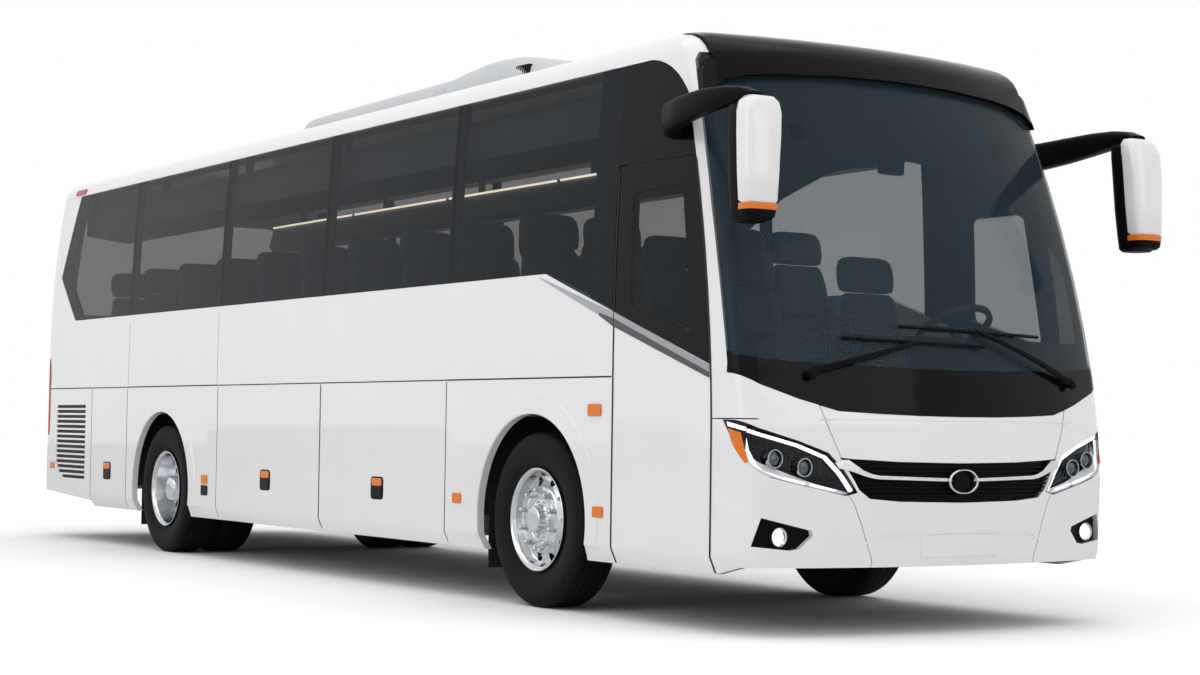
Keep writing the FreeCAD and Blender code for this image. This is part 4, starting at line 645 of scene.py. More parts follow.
for side in (-1.0, 1.0):
    tray = front_sheet(lamp_edge, -tray_depth, 0.006, side)
    rim = front_sheet(lamp_edge, -0.001, tray_depth, side)
    bmesh.ops.recalc_face_normals(rim, faces=rim.faces[:])
    bmesh.ops.delete(rim, geom=[f for f in rim.faces if abs(f.normal.y) > 0.2], context="FACES")
    bmesh.ops.solidify(rim, geom=rim.faces[:], thickness=0.003)
    trays += [tray, rim]
    covers.append(front_sheet(lamp_edge, 0.0, cover_depth, side))
    trays.append(corner_sheet(lamp_flank, -0.0015, 0.012, side))
    strips.append(corner_sheet(strip_flank, 0.0004, 0.004, side))
    for points, width, out in ((top_strip, 0.015, -0.012), (bent_strip, 0.01, -0.014),
                               (thin_strip, 0.005, -0.014)):
        strips.append(front_sheet(ribbon(points, width), out, 0.02, side))
    ambers.append(corner_sheet(amber_flank, 0.0002, 0.004, side))
    for x, z in lens_places:
        place = (side * x, front_skin(x, z) + lens_sunk, z)
        rings.append(turned_y(lens_ring, *place))
        lenses.append(turned_y(lens_dome, *place))
piece = link("headlamp_trays", joined(trays), lamp_black, smooth=0.5)
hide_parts("headlamps")
link("headlamp_covers", joined(covers), lamp_cover, smooth=0.7)
link("headlamp_strips", joined(strips), strip_white, smooth=0.5)
link("headlamp_corners", joined(ambers), amber_glow_acrylic, smooth=0.5)
link("headlamp_rings", joined(rings), chromed_steel, smooth=0.5, bevel=0.0015)
link("headlamp_lenses", joined(lenses), lens_glass, smooth=0.9)

# Grille, its bar and ring
# A black plastic grille of eight level slats. A chromed bar runs across it from lamp to lamp, broad where it
# leaves a lamp, and a plain chromed ring with a black middle stands where its halves meet.
dressed("grille", black_plastic, bevel=0.0012)
bar_top = ((0.768, 0.884), (0.735, 0.896), (0.7, 0.897), (0.66, 0.872), (0.618, 0.844), (0.57, 0.826),
           (0.525, 0.818), (0.12, 0.806), (0.06, 0.805))
bar_low = ((0.06, 0.789), (0.12, 0.789), (0.525, 0.799), (0.57, 0.804), (0.618, 0.816), (0.66, 0.83),
           (0.7, 0.842), (0.745, 0.852))
bars = [front_sheet(bar_top + bar_low, 0.006, 0.016, side) for side in (-1.0, 1.0)]
link("grille_bar", joined(bars), chromed_steel, smooth=0.5, bevel=0.003)
ring_z = 0.788
ring_face = nose_y - 0.015
ring_stretch = (1.46, 1.0, 0.94)
ring = turned_y(((0.0, 0.062), (0.0, 0.0665), (0.003, 0.07), (0.03, 0.07), (0.03, 0.0595),
                 (0.003, 0.0595), (0.0, 0.062)), 0.0, ring_face - 0.0005, ring_z, 64)
middle = turned_y(((0.007, 0.0), (0.0075, 0.02), (0.009, 0.04), (0.012, 0.0594), (0.03, 0.0594), (0.03, 0.0)),
                  0.0, ring_face, ring_z, 64)
for bm in (ring, middle):
    bmesh.ops.scale(bm, verts=bm.verts[:], vec=ring_stretch, space=Matrix.Translation((0.0, 0.0, -ring_z)))
link("grille_ring", ring, chromed_steel, bevel=0.001)
link("grille_ring_middle", middle, black_plastic)

# Fog lamps
# A round lamp with a clear glass lens in each black pocket of the bumper, behind a short rim of chromed
# steel. Both lamps are lit, so they show as white discs.
fog_x, fog_z = 1.057, 0.507
fog_y = front_skin(fog_x, fog_z) + 0.01
fog_rim = ((0.0, 0.044), (0.0, 0.048), (0.06, 0.05), (0.06, 0.04), (0.006, 0.0395), (0.0, 0.044))
fog_lens = ((0.006, 0.0), (0.007, 0.015), (0.01, 0.03), (0.014, 0.0394), (0.05, 0.0394), (0.05, 0.0))
fog_rims, fog_lenses = [[turned_y(profile, side * fog_x, fog_y, fog_z) for side in (-1.0, 1.0)]
                        for profile in (fog_rim, fog_lens)]
link("fog_lamp_rims", joined(fog_rims), chromed_steel, smooth=0.5)
lamp_glass = glowing("lit lamp glass", "#FFFFFF", 0.9)
link("fog_lamp_lenses", joined(fog_lenses), lamp_glass, smooth=0.9)

# Mirrors
# A black arm of moulded plastic leaves the pillar, bends forward and turns down into a mirror head. The head
# is a white shell over a black inner housing, with an amber lamp across its foot.


def lofted(sections):
    """A closed body through level loops of the same count, capped at both ends."""
    bm = bmesh.new()
    loops = []
    for points in sections:
        verts = [bm.verts.new(p) for p in points]
        loops.append([bm.edges.new((verts[k], verts[(k + 1) % len(verts)])) for k in range(len(verts))])
    for low, high in zip(loops, loops[1:]):
        bmesh.ops.bridge_loops(bm, edges=low + high)
    for loop in (loops[0], loops[-1]):
        bmesh.ops.edgeloop_fill(bm, edges=loop)
    return bm


def rounded(count, power):
    """Points round a square that reaches 1 to each side; the lower the power, the squarer its corners."""
    angles = [2 * math.pi * (k + 0.5) / count for k in range(count)]
    return [tuple(math.copysign(abs(share) ** power, share) for share in (math.cos(a), math.sin(a)))
            for a in angles]


def oval(cx, cy, cz, rx, ry, count=20, power=0.55):
    """A level rounded rectangle as a loop of points."""
    return [(cx + u * rx, cy + v * ry, cz) for u, v in rounded(count, power)]


white_shells, dark_parts, mirror_lamps = [], [], []
# Level sections of the head: height, middle across and along, half width and half depth of the whole head.
head_levels = (
    (2.15, 1.335, -5.405, 0.088, 0.078), (2.165, 1.335, -5.405, 0.096, 0.086),
    (2.3, 1.331, -5.4, 0.103, 0.092), (2.48, 1.326, -5.395, 0.11, 0.094), (2.6, 1.32, -5.388, 0.113, 0.09),
    (2.655, 1.314, -5.378, 0.104, 0.08), (2.684, 1.306, -5.368, 0.078, 0.06))
foot_levels = ((2.07, 1.338, -5.404, 0.07, 0.064), (2.085, 1.338, -5.404, 0.086, 0.08))
foot_top = (2.116, 1.336, -5.405, 0.092, 0.084)
# Places along the arm's middle, with its half width and half height there.
arm_path = (
    (1.165, -4.5, 2.64, 0.06, 0.07), (1.235, -4.56, 2.648, 0.066, 0.078), (1.318, -4.66, 2.664, 0.058, 0.078),
    (1.352, -4.82, 2.682, 0.05, 0.074), (1.362, -5.02, 2.7, 0.05, 0.064), (1.352, -5.2, 2.708, 0.05, 0.05),
    (1.336, -5.32, 2.704, 0.05, 0.036), (1.322, -5.4, 2.69, 0.046, 0.02))
for side in (-1.0, 1.0):
    white_shells.append(lofted([oval(side * x, y - 0.03, z, a, b - 0.02) for z, x, y, a, b in head_levels]))
    dark_parts.append(lofted([oval(side * x, y + 0.03, z - 0.01, a - 0.004, b)
                              for z, x, y, a, b in foot_levels + head_levels[1:-1]]))
    dark_parts.append(lofted([oval(side * x, y - 0.028, z, a, b - 0.02)
                              for z, x, y, a, b in foot_levels + (foot_top,)]))
    loops = []
    for k, (x, y, z, wide, high) in enumerate(arm_path):
        before = Vector(arm_path[max(k - 1, 0)][:3])
        after = Vector(arm_path[min(k + 1, len(arm_path) - 1)][:3])
        way = (after - before).normalized()
        across = Vector((way.y, -way.x, 0.0)).normalized()
        upward = across.cross(way)
        points = [Vector((x, y, z)) + across * (u * wide) + upward * (v * high) for u, v in rounded(16, 0.6)]
        loops.append([(side * point.x, point.y, point.z) for point in points])
    dark_parts.append(lofted(loops))
    mirror_lamps.append(lofted([oval(side * 1.336, -5.435, 2.118, 0.093, 0.064),
                                oval(side * 1.335, -5.435, 2.1485, 0.095, 0.066)]))
piece = link("mirror_shells", joined(white_shells), white_enamel, smooth=0.9)
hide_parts("mirrors")
dark = link("mirror_arms", joined(dark_parts), black_plastic, smooth=0.9)
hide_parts("mirrors")
link("mirror_lamps", joined(mirror_lamps), amber_glow_acrylic)

# Bumper trim
# A blank pressed plate on its low raised pad in the middle of the bumper, under a moulded ledge, and a
# filler strip that closes the joint between the front's two mouldings, sanded flush and painted white.
ledge_top = ((0.6, 0.47), (0.581, 0.496), (0.511, 0.522), (0.267, 0.531), (0.0, 0.533))
ledge = [(x, z) for x, z in ledge_top] + [(-x, z) for x, z in ledge_top[-2::-1]]
ledge = ledge + [(x, z - 0.012) for x, z in reversed(ledge)]
link("bumper_ledge", front_sheet(ledge, 0.005, 0.01), white_enamel, bevel=0.0035)
plate_edge = ((-0.262, 0.398), (0.262, 0.398), (0.262, 0.512), (-0.262, 0.512))
link("blank_plate", front_sheet(plate_edge, 0.005, 0.009), white_enamel, bevel=0.003)
joint_low, joint_high = 1.092, 1.1
far_off = 8.0


def skin_of(node):
    """The faces of a CAD node, for rays to meet."""
    bm = bmesh.new()
    bm.from_mesh(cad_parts[node].data)
    skin = BVHTree.FromBMesh(bm)
    bm.free()
    return skin


def met(skin, start, way):
    """Where a ray first meets a skin."""
    return skin.ray_cast(Vector(start), Vector(way))[0]


skins = [skin_of(node) for node in ("front_cap", "front_bumper", "front_panel")]


def painted_level(x, z):
    """Station of the outermost painted face at a place in front view, read off the solids."""
    hits = [met(skin, (x, -far_off, z), (0.0, 1.0, 0.0)) for skin in skins]
    return min([hit.y for hit in hits if hit] or [front_skin(x, z)])


bm = bmesh.new()
stations = [-1.165 + 2.33 * k / 60 for k in range(61)]
low_line, high_line = [[bm.verts.new((x, painted_level(x, z + past) + 0.0003, z)) for x in stations]
                       for z, past in ((joint_low, -0.003), (joint_high, 0.003))]
for k in range(len(stations) - 1):
    bm.faces.new((low_line[k], low_line[k + 1], high_line[k + 1], high_line[k]))
bmesh.ops.translate(bm, verts=doubled(bm), vec=(0.0, 0.012, 0.0))
link("front_joint_filler", bm, white_enamel)

# Wipers
# Two pressed steel arms in matt black with rubber blades, parked low and crossing in the middle. A moulded
# cover runs along each arm from its spindle nut to the blade.
dressed("wipers", black_plastic, bevel=0.002)
wiper_places = (((-0.895, 1.328), (-0.232, 1.504)), ((0.907, 1.312), (0.167, 1.573)))
cover_widths = ((0.0, 0.021), (0.04, 0.023), (0.1, 0.02), (0.22, 0.0165), (0.4, 0.015), (0.6, 0.0135),
                (0.8, 0.012), (0.94, 0.0105), (0.97, 0.006))
# The cover's cross section, as shares of its half width and depths behind the arm's ridge.
cover_section = ((-0.55, -0.003), (0.55, -0.003), (1.0, 0.003), (1.0, 0.016), (-1.0, 0.016), (-1.0, 0.003))
nut_cap = ((-0.006, 0.0), (-0.0055, 0.014), (-0.002, 0.022), (0.004, 0.026), (0.018, 0.027), (0.018, 0.0))
arm_skin = skin_of("wipers")


def arm_ridge(x, z):
    """The foremost place of a wiper arm near a place in front view."""
    hits = [met(arm_skin, (x, -far_off, z + 0.002 * k), (0.0, 1.0, 0.0)) for k in range(-12, 13)]
    return min([hit for hit in hits if hit], key=lambda hit: hit.y)


arm_covers = []
for (x0, z0), (x1, z1) in wiper_places:
    across = Vector((z0 - z1, 0.0, x1 - x0)).normalized()
    loops = []
    for share, wide in cover_widths:
        ridge = arm_ridge(x0 + (x1 - x0) * share, z0 + (z1 - z0) * share)
        loops.append([ridge + across * (wide * u) + Vector((0.0, v, 0.0)) for u, v in cover_section])
    arm_covers.append(lofted(loops))
    ridge = arm_ridge(x0, z0)
    arm_covers.append(turned_y(nut_cap, x0, ridge.y, z0, 28))
link("wiper_arm_covers", joined(arm_covers), black_plastic, bevel=0.0015)

# Marker lamps of the brow
# Two small lamps of moulded white acrylic, let into the front corners of the black brow and held from
# behind.
marker_edge = ((0.955, 2.956), (1.018, 2.95), (1.018, 2.972), (0.955, 2.978))
markers = [front_sheet(marker_edge, 0.002, 0.006, side, 0.02) for side in (-1.0, 1.0)]
link("brow_lamps", joined(markers), glowing("lit lamp acrylic", "#F4F6F8", 0.6), smooth=0.5,
     bevel=0.002)

# Seats
# Reclining coach seats in dark slate leather over moulded foam, in pairs on a steel foot: a crowned cushion,
# a back with raised sides and sewn channels, and a winged headrest. The seats of the driver and the guide
# are the same. The grain of the leather spreads the light, so the seats read soft and dark behind the glass.
seat_leather = finish("dark slate leather", "#31373E", "#3C434B", 0.5, 9.0, rise_mm=0.25, spread=0.08,
                      sheen=0.3)
seat_shell = finish("dark grey moulded seat shell", "#17191C", "#1D1F23", 0.45, 14.0, rise_mm=0.1)
# Level sections of back, headrest and cushion: height, half width, middle and half depth.
back_levels = (
    (0.395, 0.19, 0.5, 0.05), (0.42, 0.205, 0.503, 0.056), (0.5, 0.212, 0.511, 0.058),
    (0.56, 0.214, 0.52, 0.058), (0.575, 0.213, 0.524, 0.053), (0.59, 0.214, 0.526, 0.058),
    (0.65, 0.214, 0.54, 0.058), (0.705, 0.213, 0.549, 0.057), (0.72, 0.212, 0.553, 0.052),
    (0.735, 0.212, 0.555, 0.057), (0.79, 0.21, 0.566, 0.056), (0.845, 0.204, 0.576, 0.054),
    (0.86, 0.201, 0.58, 0.049), (0.875, 0.198, 0.582, 0.052), (0.93, 0.182, 0.592, 0.044),
    (0.95, 0.16, 0.597, 0.034))
headrest_levels = (
    (0.958, 0.15, 0.6, 0.03), (0.966, 0.186, 0.602, 0.042), (1.0, 0.196, 0.607, 0.048),
    (1.05, 0.2, 0.613, 0.05), (1.1, 0.198, 0.619, 0.046), (1.14, 0.184, 0.625, 0.04),
    (1.16, 0.16, 0.627, 0.032), (1.168, 0.12, 0.628, 0.02))
cushion_levels = (
    (0.3, 0.19, 0.215, 0.185), (0.315, 0.212, 0.222, 0.208), (0.38, 0.217, 0.222, 0.213),
    (0.415, 0.214, 0.222, 0.21), (0.432, 0.2, 0.222, 0.195), (0.436, 0.186, 0.222, 0.181),
    (0.444, 0.172, 0.222, 0.167), (0.449, 0.12, 0.222, 0.115), (0.45, 0.06, 0.222, 0.058))


def hollowed(bm, deep, reach, start, lean=0.0):
    """Presses the middle of the side that faces the sitter inwards, so the sides stand up as bolsters."""
    for vert in bm.verts:
        share = max(0.0, 1.0 - (vert.co.x / reach) ** 2)
        if vert.co.y < start + (vert.co.z - 0.4) * lean:
            vert.co.y += deep * share
    return bm


def template(bm):
    """A mesh kept as a pattern for copies."""
    bmesh.ops.recalc_face_normals(bm, faces=bm.faces[:])
    mesh = bpy.data.meshes.new("pattern")
    bm.to_mesh(mesh)
    bm.free()
    return mesh


def copies(mesh, places):
    """One bmesh with a copy of a pattern at each place."""
    bm = bmesh.new()
    for place in places:
        start = len(bm.verts)
        bm.from_mesh(mesh)
        bm.verts.ensure_lookup_table()
        bmesh.ops.translate(bm, verts=bm.verts[start:], vec=place)
    return bm


def block(size, middle=(0.0, 0.0, 0.0)):
    """A box of a size about a place."""
    bm = bmesh.new()
    bmesh.ops.create_cube(bm, size=1.0)
    bmesh.ops.scale(bm, verts=bm.verts[:], vec=size)
    bmesh.ops.translate(bm, verts=bm.verts[:], vec=middle)
    return bm


def level_loft(levels, count, power):
    """A seat part through its level sections."""
    return lofted([oval(0.0, y, z, a, b, count, power) for z, a, y, b in levels])


seat_back = template(hollowed(level_loft(back_levels, 28, 0.55), 0.022, 0.15, 0.47, 0.18))
seat_head = template(hollowed(level_loft(headrest_levels, 28, 0.5), 0.016, 0.13, 0.6))
seat_pad = template(level_loft(cushion_levels, 28, 0.45))
saloon_floor_z = 1.152
cab_floor_z = 0.902
seat_pitch = 0.775
seat_rows = 10
seat_places = [(x, front_axle_y - 0.26 + seat_pitch * row, saloon_floor_z)
               for row in range(seat_rows) for x in (-0.93, -0.478, 0.478, 0.93)]
cab_places = [(x, front_axle_y - 1.42, cab_floor_z) for x in (0.56, -0.33)]
# The two boxes of a seat's foot: low, high, front, rear and half width.
seat_foot = ((0.0, 0.3, 0.14, 0.36, 0.035), (0.285, 0.3, 0.06, 0.44, 0.2))
arm_steps = ((0.585, 0.13), (0.6, 0.15), (0.618, 0.15), (0.628, 0.13))
for name, places, node in (("passenger", seat_places, "passenger_seats"), ("cab", cab_places, "front_seats")):
    for part, pattern in (("backs", seat_back), ("headrests", seat_head), ("cushions", seat_pad)):
        piece = link(name + "_seat_" + part, copies(pattern, places), seat_leather, smooth=1.2)
        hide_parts(node)
    frames = []
    for x, y, z in places:
        for low, high, front, rear, wide in seat_foot:
            middle = (x, y + (front + rear) / 2, z + (low + high) / 2)
            frames.append(block((wide * 2, rear - front, high - low), middle))
        for way in (-1.0, 1.0):
            frames.append(lofted([oval(x + way * 0.218, y + 0.3, z + level, 0.006, reach, 12, 0.6)
                                  for level, reach in arm_steps]))
    piece = link(name + "_seat_frames", joined(frames), seat_shell, bevel=0.002)
    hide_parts(node)

# Dashboard and driver's place
# A moulded dash with a grained skin and a hooded instrument panel ahead of the driver. The steering wheel is
# moulded round a steel hoop, and turns on its column.
dash_skin = finish("grained slate dash skin", "#33383D", "#3B4046", 0.55, 3.0, rise_mm=0.2)
dressed("dashboard", dash_skin, bevel=0.015)
hood_levels = ((1.375, 0.29, 0.12), (1.44, 0.285, 0.118), (1.5, 0.255, 0.105), (1.535, 0.2, 0.08),
               (1.548, 0.12, 0.045))
hood = lofted([oval(0.585, -4.985, z, a, b, 24, 0.7) for z, a, b in hood_levels])
link("instrument_hood", hood, dash_skin, smooth=0.9)
dressed("steering_wheel", seat_shell, "hand_wheel", bevel=0.01)

# Racks, lining and strip lights
# Luggage racks of dark grey laminate hang along both walls under a cloth lining, with two lit strips along
# the inner edge of each, which show through the glass as thin pale lines. A small mirror hangs at the top of
# the windscreen. The laminate has a flat satin face and the felt none, so the lining takes no highlight.
rack_laminate = finish("grey rack laminate", "#4A4E52", "#54585C", 0.45, 60.0, rise_mm=0.05)
dressed("luggage_racks", rack_laminate, bevel=0.006)
lining_cloth = finish("grey felt lining", "#6A6D70", "#74777A", 0.85, 3.0, rise_mm=0.2)
bm = bmesh.new()
bmesh.ops.create_grid(bm, x_segments=8, y_segments=2, size=0.5)
bmesh.ops.scale(bm, verts=bm.verts[:], vec=(2.1, 8.9, 1.0))
bmesh.ops.translate(bm, verts=bm.verts[:], vec=(0.0, 0.66, 3.165))
for vert in bm.verts:
    vert.co.z -= 0.05 * (vert.co.x / 1.05) ** 2
bmesh.ops.solidify(bm, geom=bm.faces[:], thickness=0.006)
link("ceiling_lining", bm, lining_cloth, smooth=0.9)
strip_light = glowing("lit opal strip", "#FFF3DC", 2.2)
lights = [block((0.012, 1.66, 0.016), (side * x, -2.8 + 1.72 * k, z))
          for side in (-1.0, 1.0) for x, z in ((0.722, 2.69), (0.7, 2.868)) for k in range(5)]
link("rack_strip_lights", joined(lights), strip_light, bevel=0.003)
mirror_body = lofted([oval(0.16, -4.66, z, a, b, 20, 0.5) for z, a, b in
                      ((2.47, 0.075, 0.01), (2.478, 0.09, 0.018), (2.6, 0.096, 0.02), (2.618, 0.085, 0.012))])
stem_path = ((-4.655, 2.61), (-4.7, 2.72), (-4.7, 2.86))
stem = lofted([oval(0.16, y, z, 0.012, 0.012, 12, 1.0) for y, z in stem_path])
link("cab_mirror", joined([mirror_body, stem]), seat_shell, smooth=0.7)

# Floor and door arms
# A plywood floor under a slate covering, and two swing arms of coated steel tube that carry the entry door.
# The covering is grained underfoot and dull, and the coat on the tubes a little smoother.
floor_covering = finish("slate floor covering", "#3A3D40", "#44474A", 0.6, 4.0, rise_mm=0.15)
dressed("floor", floor_covering, bevel=0.004)
coated_steel = finish("powder coated steel", "#1A1B1D", "#202224", 0.45, 10.0, rise_mm=0.05)
dressed("entry_door_arm", coated_steel, "door_arm", bevel=0.003)

# Chassis, axles and hold
# Welded steel rails and cross members in black chassis paint, forged axles, and a hold lined with grey
# sheet. Road film dulls them and mottles their black. Paint and iron are coarse and nearly without shine;
# the sheet of the hold has a dull metal sheen.
chassis_paint = finish("black chassis paint with road film", "#141414", "#22211F", 0.62, 40.0, rise_mm=0.3)
forged_iron = finish("forged iron in black paint", "#191919", "#282624", 0.55, 16.0, rise_mm=0.4,
                     metallic=0.2)
hold_sheet = finish("galvanised hold lining", "#7B7F82", "#8A8E91", 0.45, 30.0, metallic=0.5, rise_mm=0.05)
cast_iron = finish("cast iron engine", "#2B2C2D", "#3A3B3C", 0.6, 12.0, rise_mm=0.5, metallic=0.3)
flap_rubber = finish("mud flap rubber", "#111213", "#18191A", 0.75, 8.0, rise_mm=0.3)
for node, material, bevel in (("chassis_rails", chassis_paint, 0.004), ("wheel_houses", chassis_paint, 0.003),
                              ("luggage_hold", hold_sheet, 0.002), ("front_axle", forged_iron, 0.006),
                              ("rear_axle", forged_iron, 0.006)):
    dressed(node, material, bevel=bevel)
for side, way in sides:
    dressed("knuckle_" + side, forged_iron, "steer_" + side, bevel=0.005)
for node, material, bevel in (("engine_block", cast_iron, 0.02), ("mud_flaps", flap_rubber, 0.003),
                              ("flap_hinges", forged_iron, 0.002)):
    dressed(node, material, bevel=bevel)

# Tail side panels and service flaps
# The lower side panels, with a bank of fifteen pressed cooling slots in each tail panel over a black backing
# sheet, and the plain service flap ahead of it. All are steel, sprayed with the body. The black sheet close
# behind the slots paints the shade inside them.
slot_low_z = 0.545
slot_pitch = 0.044
slot_high = 0.0275
slot_count = 15
slot_front_y = 4.42
slot_rear_y = 5.18
slot_starts = {0: 5.01, 1: 5.11, 2: 5.15}
slot_depth = 0.016
slot_corner = 0.006


def strip(y0, y1, z0, z1, rise, thick, side=-1):
    """A sheet on the side between two stations and two levels."""
    return side_sheet([(y0, z0), (y1, z0), (y1, z1), (y0, z1)], rise, thick, side)


cutters, slot_shade_backings = [], []
for side in (-1.0, 1.0):
    for k in range(slot_count):
        rear = slot_starts.get(k, slot_rear_y)
        bm = block((slot_depth * 2, rear - slot_front_y, slot_high))
        bmesh.ops.bevel(bm, geom=[e for e in bm.edges if abs(e.verts[0].co.x - e.verts[1].co.x) > 0.01],
                        offset=slot_corner, offset_type="OFFSET", affect="EDGES", segments=2, profile=0.5,
                        material=-1)
        bmesh.ops.translate(bm, verts=bm.verts[:], vec=(side * half_width, (rear + slot_front_y) / 2,
                                                        slot_low_z + slot_pitch * k))
        cutters.append(bm)
    # A black sheet just behind each bank of slots, which paints the shade inside them.
    slot_shade_backings.append(strip(slot_front_y - 0.01, slot_rear_y + 0.01, slot_low_z - 0.03,
                          slot_low_z + slot_pitch * slot_count, -0.0145, 0.003, side))
bm = carved(merged("lower_side_panels"), joined(cutters))
piece = link("lower_side_panels_finished", bm, white_enamel, bevel=0.0025)
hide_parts("lower_side_panels")
for way, side in sides:
    flap = strip(3.408, 4.265, 0.305, 1.317, 0.0, 0.045, side)
    piece = link("service_flap_" + way + "_finished", flap, white_enamel, "service_" + way,
                 bevel=0.003)
    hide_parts("service_flap_" + way)

# Seals of the panel joints
# Black rubber strips pressed into the joints between the side panels, some a little sunk and some just
# proud, with a thin lip on the edges of the flaps, so every joint reads as a dark line.
seal_rubber = finish("black sealing rubber", "#0B0B0C", "#111112", 0.7, 5.0)
seal_wide = 0.0052
seal_sunk = 0.002
seam_rise = 0.0004
seam_thick = 0.001
seam_wide = 0.005
seals = []
for side in (-1.0, 1.0):
    for y in (-2.13, -0.32, 1.49, 3.405, 4.268):
        seals.append(strip(y - seal_wide / 2, y + seal_wide / 2, 0.325, 1.312, -seal_sunk, 0.014, side))
    for y0, y1 in ((-4.01, -2.135), (-2.122, -0.326), (-0.314, 1.485), (1.496, 3.4), (3.412, 4.262),
                   (4.274, 5.39)):
        seals.append(strip(y0, y1, 1.3192, 1.3228, -seal_sunk, 0.006, side))
    for y0, y1 in ((-4.005, -2.135), (1.496, 3.4), (4.274, 5.375)):
        seals.append(strip(y0, y1, 1.3165, 1.3255, seam_rise, seam_thick, side))
    for y, high in ((1.505, 1.868), (3.392, 1.86)):
        seals.append(strip(y, y + 0.004, 1.327, high, seam_rise, seam_thick, side))
link("panel_joint_seals", joined(seals), seal_rubber)
for name, y0, y1 in (("flap_front_", -2.127, -0.323), ("flap_rear_", -0.317, 1.487),
                     ("service_", 3.4085, 4.2645)):
    for way, side in sides:
        lips = [strip(y, y + seam_wide, 0.33, 1.31, seam_rise, seam_thick, side)
                for y in (y0, y1 - seam_wide)]
        link(name + "edge_seals_" + way, joined(lips), seal_rubber, name + way)

# Entry door seals
# Hollow black rubber seals clipped round the edges of the entry door, which close the joint and stand a
# little proud.
door_seal_rise = 0.0035
door_seal_thick = 0.006
door_edge_y = -4.95
door_low_z = 0.31
door_high_z = 2.455
sweep_z = 1.0
sweep_radius = 5.265


def swept_y(z):
    """Station of the door's front edge at a level."""
    rise = max(0.0, z - sweep_z)
    return door_edge_y + sweep_radius - math.sqrt(sweep_radius ** 2 - rise ** 2)


edge_levels = [door_low_z, skirt_turn_z] + [0.5 + 0.1 * k for k in range(20)] + [door_high_z]
lips = [strip(door_line_y - 0.0055, door_line_y + 0.0045, low, high, door_seal_rise, door_seal_thick)
        for low, high in ((skirt_turn_z, door_high_z), (door_low_z, skirt_turn_z))]
for low, high in zip(edge_levels, edge_levels[1:]):
    lips.append(side_sheet([(swept_y(low) - 0.0045, low), (swept_y(low) + 0.0065, low),
                            (swept_y(high) + 0.0065, high), (swept_y(high) - 0.0045, high)],
                           door_seal_rise, door_seal_thick))
bm = joined(lips)
bmesh.ops.remove_doubles(bm, verts=bm.verts[:], dist=0.0002)
link("entry_door_seals", bm, seal_rubber, "door")

# Side lamps, reflectors and latches
# Small amber lenses let into the skirt, one pair over black moulded bases, and slam latches: a black cup in
# a rim with an amber reflector above it. The black plastic is smooth, with a small soft highlight.
latch_black = finish("black latch plastic", "#08090A", "#0D0E0F", 0.35, 8.0, rise_mm=0.05, sheen=0.08)


def plate(y, z, wide, high, out, thick, side, corner=0.25):
    """A rounded plate on the side, seen in side view."""
    edge = [(y + u * (wide / 2), z + v * (high / 2)) for u, v in rounded(20, corner)]
    return side_sheet(edge, out, thick, side)


latch_bevel = 0.0015
# Station, height, width and depth of each lens; the last is on the door's side alone.
side_markers = ((-3.887, 0.579, 0.105, 0.062), (-2.285, 0.6, 0.105, 0.062), (1.712, 0.604, 0.115, 0.068),
                (5.265, 0.634, 0.105, 0.056))
door_side_marker = (-3.842, 1.138, 0.135, 0.068)
ambers = [plate(*marker, 0.0085, 0.012, side) for side, markers in
          ((-1.0, side_markers + (door_side_marker,)), (1.0, side_markers)) for marker in markers]
bases = [plate(1.712, 0.52, 0.12, 0.078, 0.007, 0.012, side) for side in (-1.0, 1.0)]
piece = link("side_lamp_lenses", joined(ambers), amber_glow_acrylic, bevel=0.002)
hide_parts("side_lamps")
link("cooling_slot_shade_backing", joined(slot_shade_backings), latch_black)
link("side_lamp_bases", joined(bases), latch_black, bevel=0.002)
for place, body, y, z in (("front_", "flap_front_", -1.204, 0.628), ("rear_", "flap_rear_", 0.583, 0.63),
                          ("service_", "service_", 3.856, 0.619)):
    for way, side in sides:
        rim = plate(y, z, 0.178, 0.15, 0.003, 0.006, side, 0.3)
        cup = plate(y, z - 0.026, 0.148, 0.08, 0.006, 0.006, side, 0.3)
        lens = plate(y, z + 0.04, 0.14, 0.05, 0.007, 0.006, side, 0.3)
        link("latch_" + place + way, joined([rim, cup]), latch_black, body + way,
             bevel=latch_bevel)
        # The reflector takes the amber acrylic's faint glow, painted light on a part that is no lamp.
        link("latch_reflector_" + place + way, lens, amber_glow_acrylic, body + way,
             bevel=latch_bevel)

# Tail lamps
# Tall clusters of red acrylic at the rear corners, each with a thin red lens round on the side panel, and a
# small red marker under the roof at each top corner. All are moulded and clipped in. The acrylic is dyed
# through and glossy, and given a faint painted glow that keeps its red bright in shade.
red_glow_acrylic = glowing("red acrylic", "#A3131B", 0.15)
dressed("tail_lamps", red_glow_acrylic, bevel=0.004)
lamp_side = ((5.385, 0.905), (5.372, 0.96), (5.366, 1.1), (5.37, 1.45), (5.385, 1.59), (5.398, 1.59),
             (5.398, 0.905))
marker_side = ((4.76, 3.046), (4.99, 3.046), (5.0, 3.056), (5.0, 3.086), (4.99, 3.094), (4.76, 3.094),
               (4.75, 3.084), (4.75, 3.056))
roof_skin = skin_of("roof")
wraps = []
for side in (-1.0, 1.0):
    wraps.append(side_sheet(lamp_side, 0.006, 0.01, side))
    marker = side_sheet(marker_side, 0.0, 0.012, side)
    for vert in marker.verts:
        skin = met(roof_skin, (side * 2.0, vert.co.y, vert.co.z), (-side, 0.0, 0.0))
        proud = 0.009 if abs(vert.co.x) > side_x(vert.co.z) - 0.006 else -0.004
        vert.co.x = skin.x + side * proud
    wraps.append(marker)
link("tail_lamp_side_lenses", joined(wraps), red_glow_acrylic, bevel=0.002)

